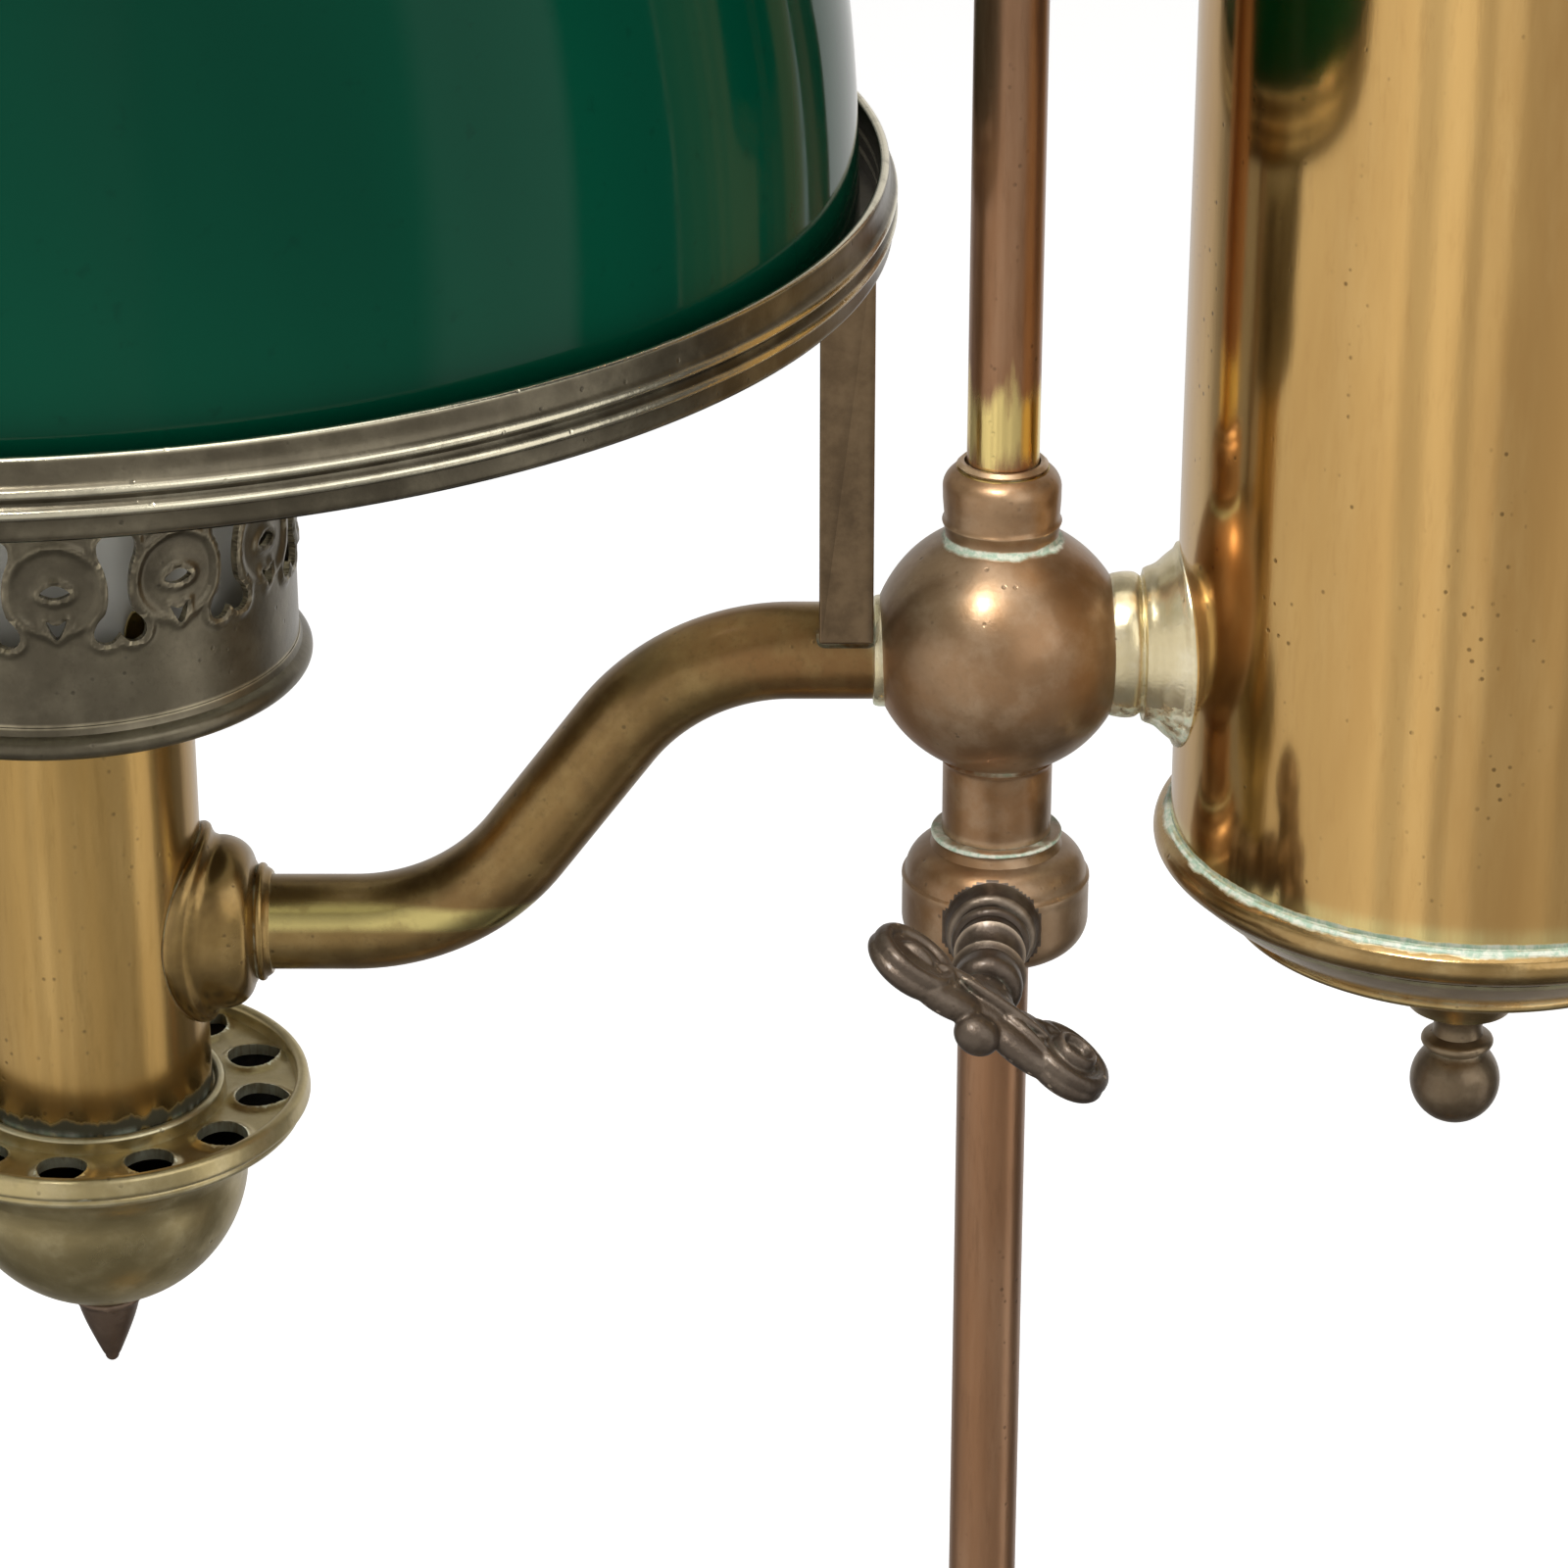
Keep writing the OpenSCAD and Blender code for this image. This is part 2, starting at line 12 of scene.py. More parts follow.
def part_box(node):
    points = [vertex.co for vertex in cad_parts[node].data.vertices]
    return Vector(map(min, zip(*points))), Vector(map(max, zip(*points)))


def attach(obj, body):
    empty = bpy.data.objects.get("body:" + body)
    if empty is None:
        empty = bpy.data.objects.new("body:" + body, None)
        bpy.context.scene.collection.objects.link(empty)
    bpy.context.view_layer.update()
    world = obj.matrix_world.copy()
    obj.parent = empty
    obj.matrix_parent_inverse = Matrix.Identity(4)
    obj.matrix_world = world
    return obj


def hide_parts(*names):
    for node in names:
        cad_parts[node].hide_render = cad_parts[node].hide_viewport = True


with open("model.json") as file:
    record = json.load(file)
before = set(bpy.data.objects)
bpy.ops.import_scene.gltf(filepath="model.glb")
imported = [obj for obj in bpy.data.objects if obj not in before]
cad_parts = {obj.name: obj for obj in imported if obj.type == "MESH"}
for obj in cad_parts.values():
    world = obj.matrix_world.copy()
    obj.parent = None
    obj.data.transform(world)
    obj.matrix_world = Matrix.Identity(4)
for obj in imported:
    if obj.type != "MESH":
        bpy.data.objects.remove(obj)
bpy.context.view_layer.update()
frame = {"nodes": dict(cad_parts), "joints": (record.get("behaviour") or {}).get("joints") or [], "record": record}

# ---- places and sizes, from the frame ----

MM = 0.001
RECORD = frame["record"]
BODY_OF = {node: body for body, nodes in RECORD["behaviour"]["bodies"].items() for node in nodes}
SLOT_OF = {part["node"]: part["material_slot"] for part in RECORD["subparts"]}
JOINTS = {joint["name"]: joint for joint in frame["joints"]}
FLOOR = Vector((0, 0, 0))
HUB = Vector(JOINTS["head_swivel"]["pos_m"])
BURNER = Vector(JOINTS["gallery_turn"]["pos_m"])
KEY = Vector(JOINTS["key_turn"]["pos_m"])
KEY_YAW = math.atan2(JOINTS["key_turn"]["axis"][0], -JOINTS["key_turn"]["axis"][1])
SHARP = 38  # degrees between faces whose shared edge stays sharp


def middle(node):
    """Centre of a node's box."""
    low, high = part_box(node)
    return (low + high) / 2


def radius(node, axis=0):
    """Half of a node's width, in millimetres."""
    low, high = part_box(node)
    return (high - low)[axis] / 2 / MM


def low_of(node, origin=HUB):
    """Height of a node's lowest point above an origin, in millimetres."""
    return (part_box(node)[0].z - origin.z) / MM


def high_of(node, origin=HUB):
    """Height of a node's highest point above an origin, in millimetres."""
    return (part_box(node)[1].z - origin.z) / MM


def world_z(millimetres):
    """Height above the hub centre as a coordinate in metres."""
    return HUB.z + millimetres * MM


TANK = Vector((middle("tank_shell").x, 0, HUB.z))
ROD_R = radius("rod")
TUBE_R = radius("burner_tube")
TANK_R = radius("tank_shell")
BALL_R = radius("hub_ball", 1)
CUP_R = radius("air_plate")
RING_R = radius("shade_ring")
SHADE_R = radius("shade_glass")
BASE_R = radius("base_shell") - 1.06
GALLERY_R = 36.8
ARM_R = 7.75
ARM_Z = -1.0
ARM_DROP = 48.0

# ---- outlines ----


def arc(x, y, r, start, end, count=8):
    """Points of an arc, in degrees from the +X side."""
    angles = np.radians(np.linspace(start, end, count + 1))
    return [(x + r * math.cos(a), y + r * math.sin(a)) for a in angles]


def softened(points, closed=True, count=4):
    """Rounds each corner (r, z, f) with a curve that starts f before it and ends f after it."""
    result = []
    total = len(points)
    for i, point in enumerate(points):
        here = np.array(point[:2], float)
        cut = point[2] if len(point) > 2 else 0
        if not cut or (not closed and i in (0, total - 1)):
            result.append(tuple(here))
            continue
        before = np.array(points[i - 1][:2], float)
        after = np.array(points[(i + 1) % total][:2], float)
        span_in = np.linalg.norm(before - here)
        span_out = np.linalg.norm(after - here)
        first = here + (before - here) * min(cut / span_in, 0.48)
        last = here + (after - here) * min(cut / span_out, 0.48)
        for t in np.linspace(0, 1, count + 1):
            result.append(tuple((1 - t) ** 2 * first + 2 * t * (1 - t) * here + t * t * last))
    return result


def through(points, count=5, closed=False):
    """Smooth curve through points (Catmull-Rom)."""
    p = [np.array(q, float) for q in points]
    total = len(p)
    result = []
    for i in range(total if closed else total - 1):
        if closed:
            a, b, c, d = p[i - 1], p[i], p[(i + 1) % total], p[(i + 2) % total]
        else:
            a, b, c, d = p[max(i - 1, 0)], p[i], p[i + 1], p[min(i + 2, total - 1)]
        for t in np.arange(count) / count:
            result.append(tuple(0.5 * (2 * b + (c - a) * t + (2 * a - 5 * b + 4 * c - d) * t * t
                                       + (3 * b - a - 3 * c + d) * t ** 3)))
    if not closed:
        result.append(tuple(p[-1]))
    return result


def dense(points, step, closed=True):
    """Splits long spans, so that no span is longer than step."""
    result = []
    total = len(points)
    for i in range(total if closed else total - 1):
        a = np.array(points[i][:2], float)
        b = np.array(points[(i + 1) % total][:2], float)
        parts = max(1, int(np.linalg.norm(b - a) / step + 0.999))
        result += [tuple(a + (b - a) * k / parts) for k in range(parts)]
    if not closed:
        result.append(tuple(points[-1][:2]))
    return result


# ---- mesh building ----


def new_object(name, vertices, faces, sharp=SHARP):
    """Object from vertices in metres, smooth but for its sharp edges."""
    mesh = bpy.data.meshes.new(name)
    mesh.from_pydata([tuple(v) for v in vertices], [], faces)
    work = bmesh.new()
    work.from_mesh(mesh)
    bmesh.ops.remove_doubles(work, verts=work.verts, dist=1e-7)
    bmesh.ops.recalc_face_normals(work, faces=work.faces)
    work.to_mesh(mesh)
    work.free()
    mesh.shade_smooth()
    mesh.set_sharp_from_angle(angle=math.radians(sharp))
    piece = bpy.data.objects.new(name, mesh)
    bpy.context.scene.collection.objects.link(piece)
    return piece


def placed(points, origin, axis="Z", yaw=0.0):
    """Millimetre points (across, across, along) of a turned piece, put in metres round origin."""
    p = np.asarray(points, float)
    if axis == "X":
        p = np.stack([p[:, 2], p[:, 0], p[:, 1]], 1)
    elif axis == "-Y":
        p = np.stack([p[:, 0], -p[:, 2], p[:, 1]], 1)
    if yaw:
        c, s = math.cos(yaw), math.sin(yaw)
        p = np.stack([p[:, 0] * c - p[:, 1] * s, p[:, 0] * s + p[:, 1] * c, p[:, 2]], 1)
    return p * MM + np.array(origin)


def between(a, b):
    """Faces between two rings of vertex numbers; a ring on the axis repeats one number."""
    faces = []
    for k in range(len(a)):
        n = (k + 1) % len(a)
        corners = [a[k], a[n], b[n], b[k]]
        corners = [c for j, c in enumerate(corners) if c != corners[j - 1]]
        if len(corners) > 2:
            faces.append(corners)
    return faces


def turned_mesh(outline, steps, wobble=0.0, relief=None):
    """Vertices (mm) and faces of a turned solid; an outline that starts and ends on the axis closes there."""
    outline = [(max(r, 0.0), z) for r, z in (q[:2] for q in outline)]
    open_ended = outline[0][0] < 1e-6 and outline[-1][0] < 1e-6
    angles = np.arange(steps) * 2 * math.pi / steps
    vertices, rows = [], []
    for r, z in outline:
        if r < 1e-6:
            rows.append([len(vertices)] * steps)
            vertices.append((0, 0, z))
            continue
        rows.append(list(range(len(vertices), len(vertices) + steps)))
        for a in angles:
            grown = r + wobble * (math.sin(2 * a + z / 23) + 0.6 * math.sin(3 * a - z / 17))
            rise = z
            if relief:
                grown, rise = relief(a, grown, rise)
            vertices.append((grown * math.cos(a), grown * math.sin(a), rise))
    faces = []
    count = len(rows)
    for i in range(count - 1 if open_ended else count):
        faces += between(rows[i], rows[(i + 1) % count])
    return vertices, faces


def turn(name, outline, origin=HUB, axis="Z", steps=144, wobble=0.0, yaw=0.0, relief=None, sharp=SHARP):
    """Turned piece."""
    vertices, faces = turned_mesh(outline, steps, wobble, relief)
    return new_object(name, placed(vertices, origin, axis, yaw), faces, sharp)


def evaluated(piece):
    """Applies the piece's modifiers."""
    graph = bpy.context.evaluated_depsgraph_get()
    mesh = bpy.data.meshes.new_from_object(piece.evaluated_get(graph))
    piece.modifiers.clear()
    piece.data = mesh
    return piece


def carve(piece, cutter):
    """Cuts the cutter out of the piece and removes the cutter."""
    cut = piece.modifiers.new("cut", "BOOLEAN")
    cut.operation = "DIFFERENCE"
    cut.solver = "EXACT"
    cut.object = cutter
    evaluated(piece)
    bpy.data.objects.remove(cutter)
    piece.data.shade_smooth()
    piece.data.set_sharp_from_angle(angle=math.radians(SHARP))
    return piece


def prisms(name, outlines, to_near, to_far):
    """One mesh of closed prisms; to_near and to_far place an outline's points at its two ends."""
    vertices, faces = [], []
    for place, outline in outlines:
        near = list(range(len(vertices), len(vertices) + len(outline)))
        far = [i + len(outline) for i in near]
        vertices += [to_near(place, q) for q in outline] + [to_far(place, q) for q in outline]
        faces += [near, far[::-1]] + between(near, far)
    return new_object(name, vertices, faces)


def bevelled(piece, width):
    """Rounds the edges of a piece."""
    bevel = piece.modifiers.new("bevel", "BEVEL")
    bevel.width = width * MM
    bevel.segments = 3
    bevel.limit_method = "ANGLE"
    bevel.angle_limit = math.radians(30)
    evaluated(piece)
    piece.data.shade_smooth()
    even = piece.modifiers.new("even", "WEIGHTED_NORMAL")
    even.weight = 100
    return evaluated(piece)


def cast(name, shapes, voxel, smoothing, origin, turn_by):
    """Melts ellipsoids and rings into one cast piece. A shape is (matrix in mm, ring outline or None)."""
    vertices, faces = [], []
    for matrix, outline in shapes:
        local, local_faces = turned_mesh(outline or arc(0, 0, 1, -90, 90, 18), 36)
        first = len(vertices)
        vertices += [matrix @ Vector(v) for v in local]
        faces += [[first + i for i in face] for face in local_faces]
    place = Matrix.Translation(origin) @ turn_by @ Matrix.Scale(MM, 4)
    piece = new_object(name, [place @ v for v in vertices], faces)
    melt = piece.modifiers.new("melt", "REMESH")
    melt.mode = "VOXEL"
    melt.voxel_size = voxel * MM
    melt.adaptivity = 0
    melt.use_smooth_shade = True
    even = piece.modifiers.new("even", "SMOOTH")
    even.factor = 0.6
    even.iterations = smoothing
    return evaluated(piece)


# ---- materials ----


class Nodes:
    """Shader nodes under construction."""

    def __init__(self, tree):
        self.tree = tree

    def add(self, kind, inputs=None, **settings):
        node = self.tree.nodes.new("ShaderNode" + kind)
        for key, value in settings.items():
            setattr(node, key, value)
        for key, value in (inputs or {}).items():
            self.connect(node.inputs[key], value)
        return node

    def connect(self, socket, value):
        if isinstance(value, bpy.types.NodeSocket):
            self.tree.links.new(value, socket)
        else:
            socket.default_value = value

    def math(self, operation, a, b=0.0, clamp=False):
        return self.add("Math", {0: a, 1: b}, operation=operation, use_clamp=clamp).outputs[0]

    plus = partialmethod(math, "ADD")
    minus = partialmethod(math, "SUBTRACT")
    times = partialmethod(math, "MULTIPLY")
    larger = partialmethod(math, "MAXIMUM")

    def mix(self, factor, a, b, **settings):
        return self.add("Mix", {0: factor, 6: a, 7: b}, data_type="RGBA", **settings).outputs[2]

    def ramp(self, place, stops):
        """Colour ramp through (position, colour) stops."""
        node = self.add("ValToRGB", {"Fac": place})
        elements = node.color_ramp.elements
        while len(elements) < len(stops):
            elements.new(0.5)
        for element, (position, colour) in zip(elements, stops):
            element.position = position
            element.color = colour
        return node.outputs[0]


class Look(Nodes):
    """A material under construction."""

    def __init__(self, name):
        self.material = bpy.data.materials.new(name)
        self.material.use_nodes = True
        super().__init__(self.material.node_tree)
        self.surface = self.tree.nodes["Principled BSDF"]
        self.position = self.add("TexCoord").outputs["Object"]

    def stretched(self, x=1.0, y=1.0, z=1.0):
        return self.add("Mapping", {"Vector": self.position, "Scale": (x, y, z)}).outputs[0]

    def noise(self, scale, detail=4.0, vector=None, roughness=0.55, distortion=0.0):
        node = self.add("TexNoise", {"Vector": vector or self.position, "Scale": scale, "Detail": detail,
                                     "Roughness": roughness, "Distortion": distortion})
        return node.outputs["Fac"]

    def step(self, value, start, end, low=0.0, high=1.0):
        node = self.add("MapRange", {"Value": value, "From Min": start, "From Max": end, "To Min": low,
                                     "To Max": high}, interpolation_type="SMOOTHSTEP")
        return node.outputs["Result"]

    def height(self):
        return self.add("SeparateXYZ", {0: self.position}).outputs[2]

    def band(self, height, half, noise=None):
        """1 at a height above the hub, falling to 0 half away from it, both in mm; noise frays its edge."""
        away = self.math("ABSOLUTE", self.minus(self.height(), world_z(height)))
        if noise is not None:
            away = self.plus(away, self.times(self.minus(noise, 0.5), half * MM * 2.2))
        return self.step(away, half * MM, half * MM * 0.35)

    def bump(self, height, distance, normal=None):
        inputs = {"Height": height, "Distance": distance * MM}
        if normal is not None:
            inputs["Normal"] = normal
        return self.add("Bump", inputs).outputs[0]

    def finish(self, **inputs):
        for key, value in inputs.items():
            self.connect(self.surface.inputs[key.replace("_", " ").title().replace("Ior", "IOR")], value)
        return self.material


def rgb(red, green, blue):
    """Linear colour from 0 to 255 screen values."""
    screen = (red, green, blue)
    return tuple(((v / 255 + 0.055) / 1.055) ** 2.4 if v > 10 else v / 255 / 12.92 for v in screen) + (1,)


def scaled(colour, factor):
    """Darker or lighter colour, never brighter than a clean metal."""
    return tuple(min(v * factor, 0.95) for v in colour[:3]) + (1,)


VERDIGRIS = rgb(160, 182, 160)
GREY_SALT = rgb(205, 207, 190)


def metal(name, dark, mid, bright, rough=0.3, salts=0.6, seams=(), grain=(1, 1, 1), polished=(), sooty=(),
          polish_and_highlight_lines=(), spots=0.5, wear=0.4, relief=0.12, patina=0.0, low_salts=None, blotch=0.35, uneven=0.12,
          blush=None, wax=0.12, swell=0.0):
    """Aged brass or bronze; lengths are in millimetres and heights are above the hub.
    seams are (height, half width), where pale salts sit; polished and sooty are ragged bands and lines are
    clean-edged bands of polish and painted highlight, all (height, half width, colour); low_salts are the heights
    where a crust starts, is full and ends; patina is how dull the film on the metal is; blotch and uneven are how
    strongly colour and gloss vary; blush is a warm stain; wax is the weight of a clear film; swell is the depth of
    slow waves."""
    look = Look(name)
    along = look.stretched(*grain)
    cloud = look.noise(32, 5, along, 0.6, 0.4)
    mottle = look.noise(150, 6, along, 0.62)
    fine = look.noise(700, 5, along, 0.7)
    colour = look.mix(look.step(cloud, 0.3, 0.72), dark, mid)
    if blush:
        stain = look.noise(17, 3, along, 0.5, 0.8)
        colour = look.mix(look.step(stain, 0.45, 0.7, 0.0, 0.8), colour, blush)
    colour = look.mix(look.times(look.step(mottle, 0.42, 0.74), blotch), colour, bright)
    colour = look.mix(look.times(look.step(fine, 0.5, 0.7), 0.3), colour, dark)
    pits = look.add("TexVoronoi", {"Vector": look.position, "Scale": 420.0}).outputs["Distance"]
    pits = look.times(look.step(pits, 0.2, 0.08), look.step(mottle, 0.5, 0.62))
    colour = look.mix(look.times(pits, spots), colour, scaled(dark, 0.35))
    edges = look.add("NewGeometry").outputs["Pointiness"]
    rubbed = look.times(look.step(edges, 0.515, 0.57), look.step(mottle, 0.3, 0.6, wear * 0.4, wear))
    colour = look.mix(rubbed, colour, scaled(bright, 1.9))

    bare_and_highlight = soiled = 0.0
    for height, half, tone in polished:
        ragged = look.band(height, half, look.noise(180, 4, look.stretched(1.6, 1.6, 0.25)))
        colour = look.mix(ragged, colour, tone)
        bare_and_highlight = look.larger(ragged, bare_and_highlight)
    for height, half, tone in sooty:
        soiled = look.band(height, half, look.noise(180, 4, look.stretched(1.6, 1.6, 0.25)))
        colour = look.mix(soiled, colour, tone)
    # Clean-edged bands of polish and of painted highlight; they also count as bare metal for gloss.
    for height, half, tone in polish_and_highlight_lines:
        clean = look.times(look.band(height, half), look.step(mottle, 0.3, 0.5, 0.6, 1.0))
        colour = look.mix(clean, colour, tone)
        bare_and_highlight = look.larger(clean, bare_and_highlight)

    nearness = look.add("AmbientOcclusion", {"Distance": 2.2 * MM}, samples=5).outputs["AO"]
    crust = look.times(look.step(nearness, 0.62, 0.25), look.step(mottle, 0.42, 0.62))
    crust = look.times(crust, salts)
    for height, half in seams:
        crust = look.larger(crust, look.band(height, half, mottle))
    if low_salts:
        start, full, end = (world_z(height) for height in low_salts)
        depth = look.times(look.step(look.height(), start, full), look.step(look.height(), end, full))
        depth = look.times(depth, look.step(mottle, 0.46, 0.58))
        crust = look.larger(crust, look.times(depth, 0.85))
    colour = look.mix(crust, colour, look.mix(look.step(fine, 0.4, 0.6), VERDIGRIS, GREY_SALT))

    rise = look.plus(look.plus(look.times(fine, 0.5), mottle), look.times(crust, 1.6))
    normal = look.bump(look.minus(rise, look.times(pits, 0.8)), relief)
    if swell:
        normal = look.bump(look.noise(19, 1, look.stretched(1, 1, 0.5)), swell, normal)
    roughness = look.plus(look.times(look.minus(cloud, 0.5), uneven), rough)
    roughness = look.plus(roughness, look.times(crust, 0.45), clamp=True)
    roughness = look.minus(roughness, look.times(bare_and_highlight, 0.1), clamp=True)
    roughness = look.larger(roughness, look.times(soiled, 0.7))
    film = look.step(mottle, 0.3, 0.7, patina * 0.8, min(patina * 1.2, 0.95))
    film = look.larger(look.times(film, look.minus(1.0, bare_and_highlight)), soiled)
    metallic = look.minus(look.minus(1.0, film), crust, clamp=True)
    return look.finish(base_color=colour, metallic=metallic, roughness=roughness, normal=normal,
                       coat_weight=wax, coat_roughness=0.16)


def speckled(name, grain, span, low, high, gloss, relief, patch=None, **settings):
    """Look whose colour, gloss and relief follow one noise, of a (scale, detail, roughness) grain. span and
    gloss are ranges of that noise; patch is (scale, start, end, weight, colour) of a second noise."""
    look = Look(name)
    scale, detail, roughness = grain
    speckle = look.noise(scale, detail, None, roughness)
    colour = look.mix(look.step(speckle, *span), low, high)
    if patch:
        scale, start, end, weight, tint = patch
        colour = look.mix(look.times(look.step(look.noise(scale, 4), start, end), weight), colour, tint)
    return look.finish(base_color=colour, roughness=look.step(speckle, *gloss),
                       normal=look.bump(speckle, relief), **settings)


def cotton():
    look = Look("woven_cotton")
    threads = {"Vector": look.stretched(), "Scale": 420.0, "Distortion": 3.0, "Detail": 2.0}
    weave = look.add("TexWave", threads, bands_direction="Z").outputs["Fac"]
    charred = look.step(look.height(), world_z(2), world_z(6.5))
    colour = look.mix(look.step(weave, 0.2, 0.8), rgb(176, 166, 140), rgb(228, 220, 198))
    colour = look.mix(look.times(charred, 0.85), colour, rgb(46, 38, 30))
    return look.finish(base_color=colour, roughness=look.step(weave, 0, 1, 0.85, 0.98),
                       normal=look.bump(weave, 0.4))


def green_glass():
    look = Look("green_glass")
    swirl = look.noise(9, 3, look.stretched(1, 1, 0.4), 0.5, 0.6)
    seed = look.noise(260, 4)
    colour = look.mix(look.step(swirl, 0.3, 0.7), rgb(0, 62, 44), rgb(4, 78, 56))
    colour = look.mix(look.times(look.step(seed, 0.62, 0.75), 0.25), colour, rgb(0, 44, 32))
    return look.finish(base_color=colour, roughness=look.step(seed, 0.3, 0.8, 0.05, 0.1),
                       normal=look.bump(swirl, 0.5), specular_ior_level=0.11)


def clear_glass():
    """Clear glass whose foot is ground."""
    look = Look("clear_glass")
    streak = look.noise(24, 3, look.stretched(1, 1, 0.2))
    colour = look.mix(look.step(streak, 0.3, 0.7), (0.93, 0.96, 0.95, 1), (0.98, 0.99, 0.985, 1))
    foot = look.step(look.height(), BURNER.z + 43 * MM, BURNER.z + 37 * MM)
    colour = look.mix(look.times(foot, 0.9), colour, rgb(206, 204, 196))
    gloss = look.plus(look.step(streak, 0.3, 0.8, 0.0, 0.03), look.times(foot, 0.6))
    return look.finish(base_color=colour, roughness=gloss, normal=look.bump(streak, 0.3), ior=1.47,
                       transmission_weight=look.minus(1.0, look.times(foot, 0.85)))


COPPER = (rgb(118, 86, 60), rgb(156, 118, 88), rgb(180, 146, 116))
BRONZE = (rgb(126, 100, 72), rgb(158, 132, 102), rgb(178, 156, 128))
ARM = (rgb(106, 84, 48), rgb(150, 122, 72), rgb(172, 146, 94))
GOLDEN = (rgb(124, 96, 54), rgb(168, 136, 80), rgb(196, 166, 108))
BRASS = (rgb(148, 116, 60), rgb(186, 150, 88), rgb(208, 174, 112))
TANK_BRASS = (rgb(192, 150, 90), rgb(218, 178, 112), rgb(228, 194, 132))
DUSKY = (rgb(76, 69, 55), rgb(106, 98, 80), rgb(130, 121, 100))
CUP = (rgb(158, 142, 100), rgb(200, 182, 132), rgb(220, 206, 166))
IRONY = (rgb(68, 57, 48), rgb(98, 85, 72), rgb(122, 109, 94))
STRAP = (rgb(68, 53, 37), rgb(98, 79, 56), rgb(118, 98, 72))
TIP = (rgb(72, 56, 46), rgb(98, 80, 65), rgb(120, 102, 86))
FLANGE = (rgb(112, 88, 50), rgb(152, 124, 74), rgb(180, 152, 100))
RIM = (rgb(146, 118, 72), rgb(186, 154, 102), rgb(212, 188, 138))
KNOB = (rgb(92, 76, 58), rgb(130, 112, 86), rgb(156, 138, 112))
PALE = (rgb(216, 200, 158), rgb(248, 236, 202), rgb(252, 246, 228))
STEEL = (rgb(120, 120, 122), rgb(168, 168, 170), rgb(200, 200, 200))
TINNED = (rgb(120, 118, 108), rgb(170, 168, 156), rgb(206, 204, 196))
# Pale colour of the shade ring's bead lines: polished crowns with a painted highlight on them.
BEAD_POLISH_AND_HIGHLIGHT = rgb(222, 214, 188)

MATERIAL = {
    "steel": metal("turned_steel", *STEEL, rough=0.3, salts=0.0, spots=0.2),
    "rod_copper": metal(
        "rod_copper", *COPPER, rough=0.3, grain=(1, 1, 0.12), salts=0.3, wear=0.2, relief=0.04, patina=0.15,
        blush=rgb(172, 116, 70), polished=[(38, 8.5, rgb(238, 212, 138))]),
    "base_brass": metal(
        "base_brass", *GOLDEN, rough=0.26, grain=(1, 1, 0.6), salts=0.7, relief=0.06, patina=0.1),
    "hub_bronze": metal(
        "hub_bronze", *BRONZE, rough=0.36, salts=0.8, relief=0.07, patina=0.25, wax=0.22,
        blush=rgb(160, 114, 70), seams=[(18.7, 0.7), (-32.4, 0.5)]),
    "key_bronze": metal("key_bronze", *IRONY, rough=0.4, salts=0.5, relief=0.25, wear=1.0, patina=0.25),
    "bare_brass": metal("bare_brass", *BRASS, rough=0.28, salts=0.3),
    # The pale line low on the arm is a painted highlight: a streak of colour where light would glint on the tube.
    "arm_brass": metal(
        "arm_brass", *ARM, rough=0.29, salts=0.7, relief=0.04, patina=0.1, wax=0.25, blush=rgb(148, 108, 64),
        polish_and_highlight_lines=[(ARM_Z - ARM_DROP + ARM_R / 2, 2.6, rgb(216, 198, 126))]),
    "pale_brass": metal(
        "pale_brass", *PALE, rough=0.26, salts=1.0, patina=0.1, wax=0.25, low_salts=(-3, -10, -22)),
    "flange_brass": metal("flange_brass", *FLANGE, rough=0.26, salts=1.0, relief=0.06, patina=0.08),
    "burner_brass": metal(
        "burner_brass", *BRASS, rough=0.2, grain=(1, 1, 0.1), salts=0.7, relief=0.025, uneven=0.06,
        patina=0.12, sooty=[(-77.3, 2.2, rgb(58, 54, 34))]),
    # The lines on the shade ring's beads are polish with a painted highlight on top.
    "dark_bronze": metal(
        "dark_bronze", *DUSKY, rough=0.3, salts=0.35, relief=0.07, wear=0.9, patina=0.2,
        polish_and_highlight_lines=[(73.6, 0.7, BEAD_POLISH_AND_HIGHLIGHT), (76.5, 0.7, BEAD_POLISH_AND_HIGHLIGHT), (81.1, 0.4, BEAD_POLISH_AND_HIGHLIGHT)]),
    "cup_brass": metal("cup_brass", *CUP, rough=0.3, salts=0.5, relief=0.07, wear=1.0, patina=0.15),
    "tank_brass": metal(
        "tank_brass", *TANK_BRASS, rough=0.12, wax=0.05, swell=0.7, grain=(1, 1, 0.16), salts=0.8,
        relief=0.015, spots=0.8, blotch=0.25, uneven=0.05, seams=[(-29.7, 0.6)]),
    "finial_bronze": metal("finial_bronze", *KNOB, rough=0.32, salts=0.7, patina=0.2),
    "tinned_brass": metal("tinned_brass", *TINNED, rough=0.32, salts=0.3),
    "felt": speckled(
        "green_felt", (900, 8, 0.75), (0.35, 0.65), rgb(34, 52, 34), rgb(72, 98, 66), (0.3, 0.7, 0.85, 1.0),
        0.6, (60, 0.5, 0.7, 0.4, rgb(90, 92, 70)), sheen_weight=0.6),
    "cast_iron": speckled(
        "cast_iron", (520, 8, 0.72), (0.35, 0.65), rgb(38, 37, 36), rgb(78, 74, 70), (0.3, 0.7, 0.5, 0.8),
        0.5, (40, 0.52, 0.66, 0.5, rgb(104, 66, 44)), metallic=0.7),
    "cotton": cotton(),
    "green_glass": green_glass(),
    "clear_glass": clear_glass(),
}
TIP_BRONZE = metal("tip_bronze", *TIP, rough=0.38, salts=0.5, relief=0.06, patina=0.3)
STRAP_BRONZE = metal("strap_bronze", *STRAP, rough=0.34, relief=0.06, patina=0.2)
